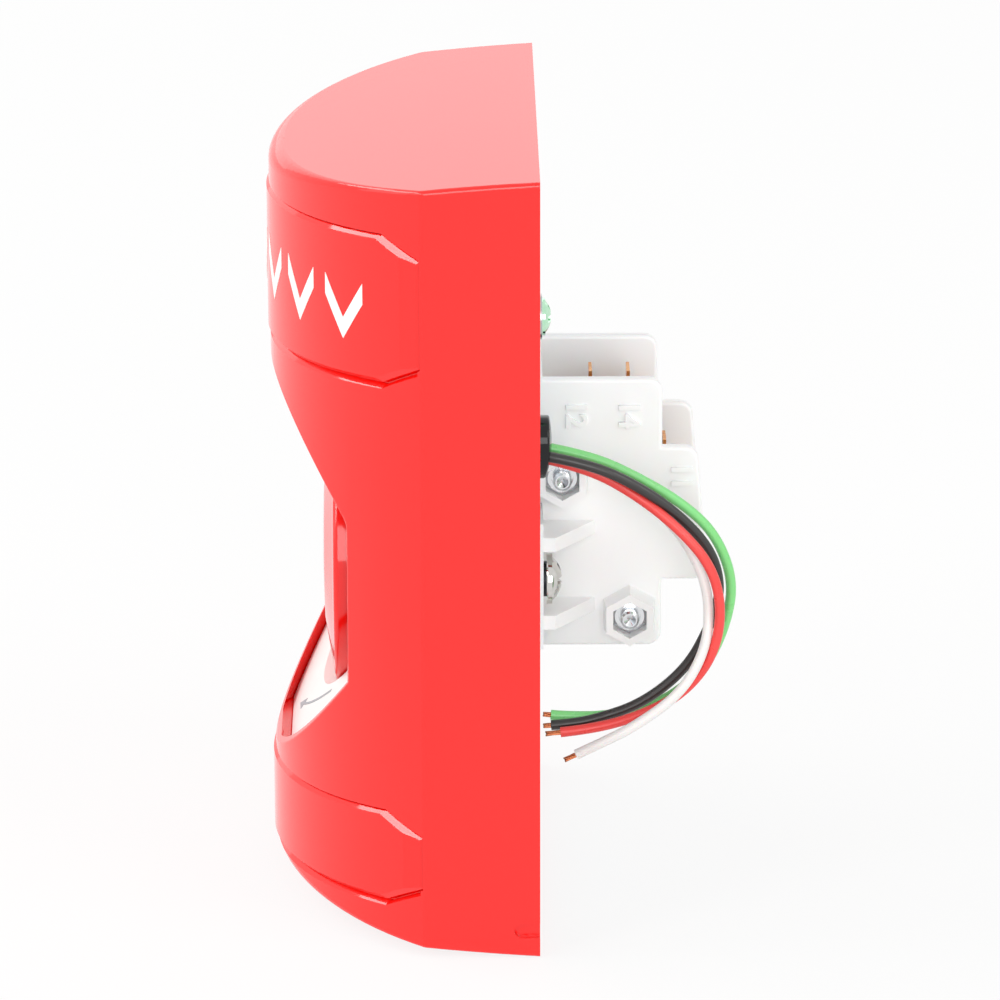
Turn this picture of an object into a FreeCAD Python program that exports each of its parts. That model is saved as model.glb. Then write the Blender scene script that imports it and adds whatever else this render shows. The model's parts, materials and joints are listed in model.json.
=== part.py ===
"""Wall-mounted emergency push-button station with a twist-to-reset button.

Millimetres. The origin is the middle of the wall plane, where the gang-box screws
hold the mounting plate. +Z is up, the front faces -Y and +Y goes into the wall.
"""
import FreeCAD, Part
import math
import os

V = FreeCAD.Vector

# Housing: a moulded shell with flat sides and a bowed front
HEIGHT = 121.0
WIDTH = 83.1
DEPTH = 40.5
WALL = 2.5
CREASE_DEPTH = 17.4        # from the wall to where the sides meet the bowed front
SIDE_DRAFT = 0.4           # each side leans in by this much at the crease
END_DRAFT = 1.35           # top and bottom lean in by this much at the crease
END_DROP = 4.5             # and by this much at the front
CREASE_ROUND = 1.5
BACK_EDGE_ROUND = 0.6      # rounding of the ends at the wall side
FRONT_EDGE_ROUND = 3.0     # and at the middle of the front

# Valley across the front, with the button in it
BUTTON_Z = -8.0            # height of the button's axis
VALLEY_FLOOR = 28.7        # from the wall
FLOOR_ABOVE = 13.2
FLOOR_BELOW = 11.9
MOUTH = 31.2               # above and below the axis, at the front
LIP_RADIUS = 8.0
LIP_STAND_OFF = 0.4        # the lips' tangent plane lies this far in front of the housing
UPPER_CORNER_ROUND = 4.0
LOWER_CORNER_ROUND = 1.2
VALLEY_EDGE_ROUND = 0.45

# Slots at the wall edge of both sides, where the housing is eased off its plate
PRY_WIDTH = 2.4
PRY_LENGTH = 3.9
PRY_DEPTH = 0.9
PRY_RISE = 4.3             # above the housing's lower end

# Reset label, sunk in the lower slope, with a collar round the button
LABEL_RIM = 0.6
LABEL_POCKET = 2.1
LABEL_THICKNESS = 0.4
LABEL_FLOOR = 1.15         # plastic left behind the pocket
LABEL_GAP = 0.2
LABEL_END = 1.0            # from the housing's front to the pocket's lower end

# Name panels on the front
PANEL_PROUD = 0.35
PANEL_SEAT = 0.9
PANEL_GAP = 0.2
PANEL_BEVEL = 0.6
PANEL_SIDE = 0.35          # from the crease to the panels' ends
PANEL_END_BEVEL = 2.4      # width of the flat slope at each end
PANEL_END_DROP = 0.3       # and how far it falls
PANEL_CORNER = 4.0         # width of the cut corners
PANEL_CORNER_RISE = 3.1    # and their height
PANEL_LEDGE = 0.8          # bevel on the housing's edge under each panel
UPPER_PANEL_DROP = 10.3    # below the housing's upper end, at the middle
UPPER_PANEL_HEIGHT = 22.7  # at the middle
UPPER_PANEL_TOP_SAG = 1.3  # the edges' corners stand this much above their middles
UPPER_PANEL_LOW_SAG = 1.5
LOWER_PANEL_RISE = 6.6     # above the housing's lower end, at the middle
LOWER_PANEL_HEIGHT = 13.3  # at the middle
LOWER_PANEL_TOP_SAG = 2.2
LOWER_PANEL_LOW_SAG = 1.2

# Well and button
BUTTON_RADIUS = 21.8
BUTTON_DOME = 1.9          # from the edge of its face to the middle
BUTTON_SKIRT = 4.4
BUTTON_FLAT_RADIUS = 12.0
BUTTON_FLAT_DROP = 0.3
BUTTON_FACE_INSET = 2.0
BUTTON_EDGE_RISE = 0.28    # the face's edge stands this much in front of the rim
BUTTON_WALL = 2.0
BUTTON_ROUND = 0.7
WELL_GAP = 1.0
TRAVEL = 4.5
TURN = 40.0                # degrees

# Clearances
RUN_GAP = 0.05             # between a shaft or slide and its guide
BODY_GAP = 0.3             # between moving pieces
END_SPARE = 0.5            # left in front of the bush when the button is in

# Stem, bush and springs
STEM_RADIUS = 5.0
SPIGOT_STEP = 1.0
SPIGOT_REACH = 0.3         # the spigot ends this far in front of the button's underside
HUB_WALL = 2.55
HUB_LENGTH = 4.1           # from the stem's shoulder to the button's underside
COLLAR = 0.8
COLLAR_EDGE = 1.0          # outside the turn spring
PIN_RADIUS = 0.8
PIN_DEPTH = 1.5            # the stop pin reaches this far into the spigot
BUSH_WALL = 3.0
BUSH_FLANGE_WIDTH = 4.0
BUSH_FLANGE = 1.5
BUSH_TAIL = 0.5            # behind the latch wire
SEAL_WIDTH = 1.7
SEAL_DEPTH = 1.6
RING_NUT = 2.0
CLIP = 0.8
CLIP_GROOVE = 0.8
CLIP_WIDTH = 2.4
CLIP_MOUTH = 0.8           # the clip's mouth over the groove's diameter
STEM_TAIL = 0.9            # behind the clip
SPRING_WIRE = 1.0
SPRING_GAP = 1.1           # round the collar
SPRING_TURNS = 4
TURN_SPRING_WIRE = 0.8
TURN_SPRING_GAP = 0.6      # round the hub
TURN_SPRING_TURNS = 3
COIL_RUNS = 8              # runs in each turn of a coil
BEND_SHARE = 0.45          # share of a run that each bend takes
LATCH_WIRE = 1.0
LATCH_GAP = 0.5            # behind the ring nut
LATCH_PLAY = 0.2           # the stem's groove past the wire, to both sides
YOKE_MARGIN = 0.85         # past the levers' outer sides
YOKE_HEIGHT = 7.0
YOKE_THICKNESS = 3.2
YOKE_ROUND = 1.0
YOKE_SCREW_RADIUS = 1.5
YOKE_SCREW_HEAD = 2.8
YOKE_SCREW_DEPTH = 1.8
YOKE_SCREW_LENGTH = 7.0

# Lamp ring round the bush
LAMP_RING_GAP = 0.8        # round the bush's flange
LAMP_RING_EDGE = 3.5       # inside the well's wall
LAMP_RING_THICKNESS = 1.2
LAMP_RADIUS = 1.5
LAMP_HEIGHT = 1.4
LAMP_ROUND = 0.84
LAMP_COUNT = 4
LEAD_HOLE = 2.6

# Mounting plate and what fastens to it
PLATE = 1.6
PLATE_SIDE_MARGIN = 6.55   # inside the housing's sides
PLATE_END_MARGIN = 5.5     # inside its ends
PLATE_CORNER = 4.0
BOX_HOLES = 83.3           # spacing of a single-gang box's screws
BOX_HOLE_RADIUS = 2.1
POST_INSET = 5.0           # inside the plate's edges
POST_RADIUS = 3.6
PLATE_STUD_RADIUS = 1.25
PLATE_STUD_HEAD = 2.6
PLATE_STUD_LENGTH = 9.0
GROUND_INSET = 10.0        # inside the plate's side
GROUND_DROP = 19.6         # below the plate's upper end
GROUND_HEAD = 2.9
GROUND_HEAD_HEIGHT = 1.4
GROUND_SHANK = 1.75
GROUND_LENGTH = 4.1
WASHER = 0.5
GROUND_WASHER_EDGE = 0.5   # outside the screw's head
GROMMET_X = 24.4
GROMMET_Z = 14.9
GROMMET_WIDTH = 7.6
GROMMET_HEIGHT = 9.6
GROMMET_NECK = 1.2         # the neck is smaller than the rear flange by this much all round
GROMMET_LIP = 0.6          # and the inner flange by this much
GROMMET_FLANGE = 2.0
GROMMET_INNER_FLANGE = 1.2
GROMMET_DOME = 17.0        # radius of its rear face
GROMMET_DOME_RISE = 1.0    # the dome's highest point above the grommet's middle
GROMMET_ROUND = 0.4

# Driver recesses, as shares of a screw head's radius and height
RECESS_REACH = 0.62
RECESS_HALF_WIDTH = 0.17
RECESS_DEPTH = 0.55
RIM_RADIUS = 0.97
RIM_HEIGHT = 0.35
SLOT_HALF_WIDTH = 0.14
SLOT_DEPTH = 0.5

# Switches, two side by side, and their holder
SWITCH_WIDTH = 10.2
SWITCH_LENGTH = 27.8
SWITCH_HEIGHT = 15.9
SWITCH_FRONT = 0.97        # behind the wall plane
SWITCH_RISE = 3.35         # the switches' middle above the button's axis
STACK_GAP = 0.2
BOLT_SPACING_Z = 22.2
BOLT_SPACING_Y = 10.3
BOLT_RADIUS = 1.4
BOLT_HEAD = 2.6
BOLT_HEAD_HEIGHT = 1.8
BOLT_HEAD_ROUND = 0.7
BOLT_TIP = 2.0             # past the nut
BOLT_TIP_BEVEL = 0.3
BOLT_CUP = 0.9             # radius of the hollow in its tip
BOLT_CUP_DEPTH = 0.6
BOLT_WASHER_EDGE = 0.4
NUT_FLATS = 5.0
NUT = 1.5
NUT_BEVEL = 0.65
NUT_RELIEF = 0.28          # round the bolt, in the nut's face
NUT_RELIEF_DEPTH = 0.8
NUT_SEAT = 0.1             # above the cheek's face
NUT_GAP = 0.05
BOSS_FLATS = 7.9           # at the cheek
BOSS_TAPER = 0.35          # the boss's end is narrower by this, to each side
BOSS_HEIGHT = 3.6
HOLDER_FLANGE = 0.8
CHEEK = 1.9
CHEEK_OVER = 3.4           # above the terminals' tips
CHEEK_UNDER = 2.45         # below the switches
CHEEK_BEHIND = 2.08        # behind the switches
CHEEK_ROUND = 2.2
CHEEK_EDGE_ROUND = 0.6
GUARD_OVER = 3.7           # above the common terminal
GUARD_BEHIND = 4.2         # behind the common terminal
GUARD_LEAN = 1.7           # its lower end stands this much further back
GUARD_RISE = 10.6          # its lower end above the cheek's
GUSSET = 2.2
GUSSET_LENGTH = 8.0
GUSSET_REACH = 8.8
GUSSET_TIP = 1.8           # height of the gussets' outer ends
GUSSET_SPACING = 12.4
HOLDER_SCREW_OFFSET = 6.2  # outside the cheeks
HOLDER_SCREW_RADIUS = 2.0
HOLDER_SCREW_HEAD = 3.95
HOLDER_SCREW_HEAD_HEIGHT = 2.4
HOLDER_SCREW_LENGTH = 6.0
HOLDER_WASHER_WALL = 0.7   # past the holder screws' shanks
WING_MARGIN = 4.0          # past the holder screws
WING_HALF_HEIGHT = 10.0
WINDOW_SIDE = 0.55         # past the lever ears
WINDOW_OVER = 1.45         # above the lever ears
WINDOW_UNDER = 1.5         # below the yoke

# Switch insides
SWITCH_WALL = 1.5
COVER = 1.7
POST_WALL = 1.1
TERMINAL = 0.5
TERMINAL_WIDTH = 4.8
TERMINAL_REACH = 9.05      # above the case
TERMINAL_EYE = 0.8
TERMINAL_EYE_DROP = 1.8    # below a terminal's tip
CLOSED_TERMINAL_PLACE = 7.43   # behind the case's front
OPEN_TERMINAL_PLACE = 2.67     # before the case's rear
COMMON_EXIT_DROP = 8.25    # below the case's top
COMMON_REACH = 3.23        # behind the case
COMMON_HEIGHT = 6.2
CONTACT_RADIUS = 1.2
CONTACT_STUD = 0.6
BLADE = 0.35
BLADE_WIDTH = 3.6
BLADE_PIVOT_RISE = 6.0     # above the case's bottom
BLADE_PIN_RADIUS = 0.7
BLADE_EYE = 0.6
LEVER = 0.6
LEVER_WIDTH = 4.0
LEVER_PIN_STAND_OFF = 1.57     # before the case's front
LEVER_PIN_DROP = 1.85      # below the case's top
LEVER_PIN_RADIUS = 0.6
LEVER_EYE = 0.55
LEVER_TIP = 1.0            # the lever reaches this far past the button's axis
EAR = 1.0
PLUNGER_DROP = 5.5         # below the lever's pin
PLUNGER_WIDTH = 3.0
PLUNGER_HEIGHT = 2.4
PLUNGER_ROUND = 0.7

# Leads: points on each route, and the bare end of each
LEAD = 1.55
CORE = 0.8
LEAD_ROUTES = {
    "green_lead": [(24.2, 1.2, 14.7), (24.0, 7.7, 13.35), (23.7, 15.0, 10.1), (23.4, 21.7, 6.35),
                   (23.0, 26.5, 0.6), (22.8, 29.2, -7.0), (22.6, 28.4, -14.2), (22.5, 25.3, -21.2),
                   (22.5, 19.1, -26.6), (22.5, 11.2, -28.7), (22.6, 5.1, -28.8), (22.6, 1.9, -28.5)],
    "black_lead": [(26.4, 1.2, 14.0), (27.0, 7.7, 12.9), (26.4, 14.6, 9.6), (25.4, 21.0, 4.5),
                   (24.8, 25.6, -1.9), (24.5, 27.5, -8.1), (24.4, 25.8, -13.9), (24.4, 22.4, -20.5),
                   (24.6, 15.8, -26.0), (24.8, 8.5, -28.5), (25.0, 4.6, -29.1), (25.0, 1.9, -29.3)],
    "red_lead": [(24.6, 1.2, 13.0), (25.0, 7.4, 11.6), (25.2, 14.2, 7.8), (27.1, 20.4, 2.7),
                 (27.8, 25.4, -3.3), (28.0, 27.4, -9.9), (27.8, 26.3, -17.5), (27.4, 21.6, -23.7),
                 (27.2, 14.7, -27.3), (27.0, 8.0, -29.2), (27.0, 3.3, -29.7)],
    "white_lead": [(22.5, 1.2, 13.1), (22.3, 7.8, 10.6), (22.3, 14.7, 6.9), (23.0, 20.7, 1.7),
                   (24.6, 24.5, -4.4), (26.4, 25.6, -9.9), (28.4, 24.9, -16.2), (30.0, 21.3, -22.6),
                   (30.6, 14.3, -27.6), (30.8, 9.1, -30.2), (30.8, 5.6, -31.9)],
}
BARE_LENGTHS = {"green_lead": 1.2, "black_lead": 1.2, "red_lead": 2.3, "white_lead": 2.0}
INNER_LEAD_SPACING = 1.8
INNER_LEAD_BEND = 4.6      # straight length at each end of the inner leads

# Sizes that follow from the ones above: housing and panels
HALF_WIDTH = WIDTH / 2
CREASE_X = HALF_WIDTH - SIDE_DRAFT
SAGITTA = DEPTH - CREASE_DEPTH
FRONT_RADIUS = (CREASE_X ** 2 + SAGITTA ** 2) / (2 * SAGITTA)
FRONT_CENTRE = V(0, FRONT_RADIUS - DEPTH, 0)
PANEL_HALF_WIDTH = CREASE_X - PANEL_SIDE
UPPER_PANEL_TOP = HEIGHT / 2 - UPPER_PANEL_DROP
LOWER_PANEL_BOTTOM = LOWER_PANEL_RISE - HEIGHT / 2
PANELS = {"upper_name_panel": (UPPER_PANEL_TOP, UPPER_PANEL_TOP_SAG,
                               UPPER_PANEL_TOP - UPPER_PANEL_HEIGHT, UPPER_PANEL_LOW_SAG),
          "lower_name_panel": (LOWER_PANEL_BOTTOM + LOWER_PANEL_HEIGHT, LOWER_PANEL_TOP_SAG,
                               LOWER_PANEL_BOTTOM, LOWER_PANEL_LOW_SAG)}
VALLEY_WALL = LABEL_POCKET + LABEL_FLOOR
PLATE_WIDTH = WIDTH - 2 * PLATE_SIDE_MARGIN
PLATE_HEIGHT = HEIGHT - 2 * PLATE_END_MARGIN
GROUND_X = PLATE_WIDTH / 2 - GROUND_INSET
GROUND_Z = PLATE_HEIGHT / 2 - GROUND_DROP
POSTS = [(x * (PLATE_WIDTH / 2 - POST_INSET), z * (PLATE_HEIGHT / 2 - POST_INSET))
         for x in (-1, 1) for z in (-1, 1)]
HULL = 4 * HEIGHT          # longer than anything it has to cut or meet

# Switches
SWITCH_Z = BUTTON_Z + SWITCH_RISE
SWITCH_REAR = SWITCH_FRONT + SWITCH_HEIGHT
SWITCH_TOP = SWITCH_Z + SWITCH_LENGTH / 2
SWITCH_BOTTOM = SWITCH_Z - SWITCH_LENGTH / 2
SWITCH_MID_Y = SWITCH_FRONT + SWITCH_HEIGHT / 2
SWITCH_MIDDLE = (STACK_GAP / 2 + SWITCH_WIDTH) / 2
BOLTS = [(SWITCH_MID_Y - BOLT_SPACING_Y / 2, SWITCH_Z + BOLT_SPACING_Z / 2),
         (SWITCH_MID_Y + BOLT_SPACING_Y / 2, SWITCH_Z - BOLT_SPACING_Z / 2)]
LEVER_PIN_Y = SWITCH_FRONT - LEVER_PIN_STAND_OFF
LEVER_PIN_Z = SWITCH_TOP - LEVER_PIN_DROP
LEVER_ARM = LEVER_PIN_Z - BUTTON_Z
LEVER_TURN = math.atan(TRAVEL / LEVER_ARM)
LEVER_SIDE = SWITCH_MIDDLE + LEVER_WIDTH / 2
LEVER_REACH = (LEVER_ARM + LEVER_TIP) * math.sin(LEVER_TURN) + LEVER / 2 * math.cos(LEVER_TURN)
YOKE_REAR = LEVER_REACH + BODY_GAP - LEVER_PIN_Y
PLUNGER_Z = LEVER_PIN_Z - PLUNGER_DROP
PLUNGER_TRAVEL = PLUNGER_DROP * TRAVEL / LEVER_ARM
CLOSED_TERMINAL_Y = SWITCH_FRONT + CLOSED_TERMINAL_PLACE
OPEN_TERMINAL_Y = SWITCH_REAR - OPEN_TERMINAL_PLACE
TERMINAL_TOP = SWITCH_TOP + TERMINAL_REACH
COMMON_EXIT_Z = SWITCH_TOP - COMMON_EXIT_DROP
COMMON_TERMINAL_REAR = SWITCH_REAR + COMMON_REACH
COMMON_TERMINAL_TOP = COMMON_EXIT_Z + COMMON_HEIGHT
CONTACT_Z = PLUNGER_Z + PLUNGER_HEIGHT / 2 + BODY_GAP + CONTACT_RADIUS
BLADE_Y = CLOSED_TERMINAL_Y + TERMINAL / 2 + CONTACT_STUD + BODY_GAP + BLADE / 2
BLADE_PIVOT_Z = SWITCH_BOTTOM + BLADE_PIVOT_RISE
BLADE_TURN = PLUNGER_TRAVEL / (PLUNGER_Z - BLADE_PIVOT_Z)

# Button, stem and bush, stacked from the switch levers out to the button's crown
STEM_END = YOKE_REAR + YOKE_THICKNESS
YOKE_SCREW_SEAT = -YOKE_REAR - YOKE_SCREW_DEPTH
CLIP_FRONT = STEM_END + STEM_TAIL + CLIP
CLIP_RADIUS = STEM_RADIUS + CLIP_WIDTH
BUSH_END = CLIP_FRONT + BODY_GAP
LATCH_POSITION = BUSH_END + BUSH_TAIL + LATCH_WIRE / 2
LATCH_REACH = STEM_RADIUS + BODY_GAP + LATCH_WIRE / 2
WELL_BACK = LATCH_POSITION + LATCH_WIRE / 2 + LATCH_GAP + RING_NUT
WELL_FLOOR = WELL_BACK + WALL
WELL_RADIUS = BUTTON_RADIUS + WELL_GAP
BUSH_FRONT = WELL_FLOOR + BUSH_FLANGE
BUSH_RADIUS = STEM_RADIUS + BUSH_WALL
BUSH_FLANGE_RADIUS = BUSH_RADIUS + BUSH_FLANGE_WIDTH
STEM_SHOULDER = BUSH_FRONT + END_SPARE + TRAVEL + COLLAR
BUTTON_UNDERSIDE = STEM_SHOULDER + HUB_LENGTH
BUTTON_RIM = BUTTON_UNDERSIDE + BUTTON_WALL
BUTTON_CROWN = BUTTON_RIM + BUTTON_DOME
BUTTON_SKIRT_END = BUTTON_RIM - BUTTON_SKIRT
SPIGOT_RADIUS = STEM_RADIUS - SPIGOT_STEP
SPIGOT_FRONT = BUTTON_UNDERSIDE + SPIGOT_REACH
PIN_POSITION = (STEM_SHOULDER + BODY_GAP + SPIGOT_FRONT) / 2
HUB_RADIUS = SPIGOT_RADIUS + RUN_GAP + HUB_WALL
TURN_SPRING_RADIUS = HUB_RADIUS + TURN_SPRING_GAP + TURN_SPRING_WIRE / 2
COLLAR_RADIUS = TURN_SPRING_RADIUS + TURN_SPRING_WIRE / 2 + COLLAR_EDGE
SPRING_RADIUS = COLLAR_RADIUS + SPRING_GAP + SPRING_WIRE / 2
LAMP_RING_INNER = BUSH_FLANGE_RADIUS + LAMP_RING_GAP
LAMP_RING_OUTER = WELL_RADIUS - LAMP_RING_EDGE
LAMP_CIRCLE = (LAMP_RING_INNER + LAMP_RING_OUTER) / 2
LEAD_HOLE_X = LAMP_CIRCLE * math.sqrt(0.5)
LEAD_HOLE_Z = BUTTON_Z + LAMP_CIRCLE * math.sqrt(0.5)

# Holder and yoke
CHEEK_INNER = SWITCH_WIDTH + STACK_GAP
CHEEK_OUTER = CHEEK_INNER + CHEEK
CHEEK_TOP = TERMINAL_TOP + CHEEK_OVER
CHEEK_BOTTOM = SWITCH_BOTTOM - CHEEK_UNDER
CHEEK_REAR = SWITCH_REAR + CHEEK_BEHIND
GUARD_TOP = COMMON_TERMINAL_TOP + GUARD_OVER
GUARD_BOTTOM = CHEEK_BOTTOM + GUARD_RISE
GUARD_REAR_TOP = COMMON_TERMINAL_REAR + GUARD_BEHIND
GUARD_REAR_BOTTOM = GUARD_REAR_TOP + GUARD_LEAN
HOLDER_SCREW_X = CHEEK_OUTER + HOLDER_SCREW_OFFSET
WING_HALF_WIDTH = HOLDER_SCREW_X + WING_MARGIN
WINDOW_HALF_WIDTH = LEVER_SIDE + BODY_GAP + EAR + WINDOW_SIDE
WINDOW_TOP = LEVER_PIN_Z + LEVER_PIN_RADIUS + LEVER_EYE + WINDOW_OVER
WINDOW_BOTTOM = BUTTON_Z - YOKE_HEIGHT / 2 - WINDOW_UNDER
YOKE_HALF_WIDTH = LEVER_SIDE + YOKE_MARGIN


def box(x0, x1, y0, y1, z0, z1):
    """A block between two corners."""
    return Part.makeBox(x1 - x0, y1 - y0, z1 - z0, V(x0, y0, z0))


def rod_y(radius, y0, y1, x=0.0, z=0.0):
    """A round bar along Y."""
    return Part.makeCylinder(radius, y1 - y0, V(x, y0, z), V(0, 1, 0))


def rod_x(radius, x0, x1, y=0.0, z=0.0):
    """A round bar along X."""
    return Part.makeCylinder(radius, x1 - x0, V(x0, y, z), V(1, 0, 0))


def ring_y(outer, inner, y0, y1, x=0.0, z=0.0):
    """A flat ring about Y."""
    return rod_y(outer, y0, y1, x, z).cut(rod_y(inner, y0, y1, x, z))


def prism(points, along):
    """A block with the given outline, drawn out along a vector."""
    return Part.Face(Part.makePolygon(points + [points[0]])).extrude(along)


def hexagon_points(flats, x, y, z):
    """Corners of a hexagon across X, standing on a corner."""
    radius = flats / math.sqrt(3)
    return [V(x, y + radius * math.sin(math.radians(60 * i)), z + radius * math.cos(math.radians(60 * i)))
            for i in range(6)]


def hexagon_x(flats, x0, x1, y, z):
    """A hexagonal bar along X, standing on a corner."""
    return prism(hexagon_points(flats, x0, y, z), V(x1 - x0, 0, 0))


def slab_yz(points, x0, x1):
    """A block with an outline in Y and Z, drawn out along X."""
    return prism([V(x0, y, z) for y, z in points], V(x1 - x0, 0, 0))


def mirrored(shape):
    """The same shape on the other side of the middle plane."""
    return shape.mirror(V(0, 0, 0), V(1, 0, 0))


def arc_through(a, b, c):
    """An arc edge through three points."""
    return Part.Arc(a, b, c).toShape()


def tube(points, diameter):
    """A round lead or wire along straight runs joined by tangent arcs; prints its tightest bend."""
    points = [V(*p) for p in points]
    edges = []
    radii = []
    start = points[0]
    for before, corner, after in zip(points, points[1:], points[2:]):
        way_in = (corner - before).normalize()
        way_out = (after - corner).normalize()
        turn = way_in.getAngle(way_out)
        setback = BEND_SHARE * min((corner - before).Length, (after - corner).Length)
        enter = corner - way_in * setback
        leave = corner + way_out * setback
        inward = (way_out - way_in).normalize()
        radius = setback / math.tan(turn / 2)
        radii.append(radius)
        middle = corner + inward * (radius / math.cos(turn / 2) - radius)
        edges.append(Part.LineSegment(start, enter).toShape())
        edges.append(arc_through(enter, middle, leave))
        start = leave
    edges.append(Part.LineSegment(start, points[-1]).toShape())
    path = Part.Wire(edges)
    first = (points[1] - points[0]).normalize()
    section = Part.Wire(Part.makeCircle(diameter / 2, points[0], first))
    solid = path.makePipeShell([section], True, False)
    ideal = math.pi * diameter ** 2 / 4 * path.Length
    print("tube length", round(path.Length, 1), "tightest bend", round(min(radii), 1),
          "volume over section times length", round(solid.Volume / ideal, 4))
    return solid


def coil_y(radius, wire, turns, y0, y1, z):
    """A coil spring about Y, with both ends inside the two planes."""
    count = turns * COIL_RUNS
    step = 2 * math.pi / COIL_RUNS
    spots = [(0.0, radius)]
    spots += [(i + 0.5, radius / math.cos(step / 2)) for i in range(count)]
    spots += [(count, radius)]
    rise = (y1 - y0 - wire) / count
    points = [(reach * math.cos(i * step), y0 + wire / 2 + i * rise, z + reach * math.sin(i * step))
              for i, reach in spots]
    return tube(points, wire)


def save(node, *solids):
    """Write one node: its solids, unfused, in one file."""
    shape = solids[0] if len(solids) == 1 else Part.makeCompound(list(solids))
    shape.exportStep("parts/%s.step" % node)


def end_height(depth, inset):
    """Half-height of the housing at a depth from the wall, on the arc through its three sizes."""
    back = V(0, 0, HEIGHT / 2 - inset)
    crease = V(0, -CREASE_DEPTH, HEIGHT / 2 - END_DRAFT - inset)
    front = V(0, -DEPTH, HEIGHT / 2 - END_DROP - inset)
    curve = arc_through(back, crease, front).Curve
    centre = curve.Center
    return centre.z + math.sqrt(curve.Radius ** 2 - (-depth - centre.y) ** 2)


def half_block(inset):
    """The housing's right half with its ends, as a solid block that is smaller by an inset."""
    radius = FRONT_RADIUS - inset
    centre = FRONT_CENTRE
    side_back = HALF_WIDTH - inset
    crease_y = -CREASE_DEPTH
    crease_x = math.sqrt(radius ** 2 - (crease_y - centre.y) ** 2)
    middle = math.radians(45)
    plan = Part.Wire([
        Part.LineSegment(V(0, 0, -HEIGHT), V(side_back, 0, -HEIGHT)).toShape(),
        Part.LineSegment(V(side_back, 0, -HEIGHT), V(crease_x, crease_y, -HEIGHT)).toShape(),
        arc_through(V(crease_x, crease_y, -HEIGHT),
                    V(radius * math.sin(middle / 2), centre.y - radius * math.cos(middle / 2), -HEIGHT),
                    V(0, centre.y - radius, -HEIGHT)),
        Part.LineSegment(V(0, centre.y - radius, -HEIGHT), V(0, 0, -HEIGHT)).toShape()])
    block = Part.Face(plan).extrude(V(0, 0, 2 * HEIGHT))
    deep = DEPTH + WALL
    back_z = end_height(0, inset)
    mid_z = end_height(CREASE_DEPTH, inset)
    front_z = end_height(deep, inset)
    side = Part.Wire([
        arc_through(V(-1, 0, back_z), V(-1, -CREASE_DEPTH, mid_z), V(-1, -deep, front_z)),
        Part.LineSegment(V(-1, -deep, front_z), V(-1, -deep, -front_z)).toShape(),
        arc_through(V(-1, -deep, -front_z), V(-1, -CREASE_DEPTH, -mid_z), V(-1, 0, -back_z)),
        Part.LineSegment(V(-1, 0, -back_z), V(-1, 0, back_z)).toShape()])
    return block.common(Part.Face(side).extrude(V(WIDTH, 0, 0)))


def valley_line(sign, grow):
    """Floor and mouth corners (Y, Z) of one slope, moved into the plastic by grow."""
    floor = FLOOR_ABOVE if sign > 0 else FLOOR_BELOW
    run = V(0, VALLEY_FLOOR - DEPTH, sign * (MOUTH - floor)).normalize()
    outward = V(0, -sign * run.z, sign * run.y) * -1
    corner = V(0, -VALLEY_FLOOR, BUTTON_Z + sign * floor) + outward * grow
    up = (corner.y - (grow - VALLEY_FLOOR)) / run.y
    corner = corner - run * up
    return corner, run, outward


def valley(grow, lips):
    """The trough across the front, drawn out along X; with lips its mouth opens in two curves."""
    front = -DEPTH - 2 * LIP_RADIUS
    top, run_top, _ = valley_line(1, grow)
    low, run_low, _ = valley_line(-1, grow)
    top_end = top + run_top * ((front - top.y) / run_top.y)
    low_end = low + run_low * ((front - low.y) / run_low.y)
    trough = prism([V(-HULL / 2, p.y, p.z) for p in (top, top_end, low_end, low)], V(HULL, 0, 0))
    if not lips:
        return trough
    corners = [(e, UPPER_CORNER_ROUND if e.CenterOfMass.z > BUTTON_Z else LOWER_CORNER_ROUND)
               for e in trough.Edges
               if e.Length > HULL / 2 and abs(e.CenterOfMass.y - top.y) < 0.01]
    for edge, radius in corners:
        near = [e for e in trough.Edges if (e.CenterOfMass - edge.CenterOfMass).Length < 0.01]
        trough = trough.makeFillet(radius, near)
    for sign in (1, -1):
        corner, run, outward = valley_line(sign, grow)
        plane = -DEPTH - LIP_STAND_OFF
        meet = corner + run * ((plane - corner.y) / run.y)
        turn = V(0, 0, sign).getAngle(run)
        setback = LIP_RADIUS * math.tan(turn / 2)
        on_slope = meet - run * setback
        on_front = meet + V(0, 0, sign * setback)
        centre = on_front + V(0, LIP_RADIUS, 0)
        toward = (meet - centre).normalize()
        lip = Part.Wire([
            Part.LineSegment(on_slope, meet - V(0, LIP_RADIUS, 0)).toShape(),
            Part.LineSegment(meet - V(0, LIP_RADIUS, 0), on_front).toShape(),
            arc_through(on_front, centre + toward * LIP_RADIUS, on_slope)])
        opened = Part.Face(lip).extrude(V(HULL, 0, 0))
        opened.translate(V(-HULL / 2, 0, 0))
        trough = trough.fuse(opened)
    return trough.removeSplitter()


def on_front(edge):
    """Whether an edge's middle lies on the bowed front."""
    point = edge.valueAt((edge.FirstParameter + edge.LastParameter) / 2)
    return abs(math.hypot(point.x, point.y - FRONT_CENTRE.y) - FRONT_RADIUS) < 1e-3 and point.x > 1e-3


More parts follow.
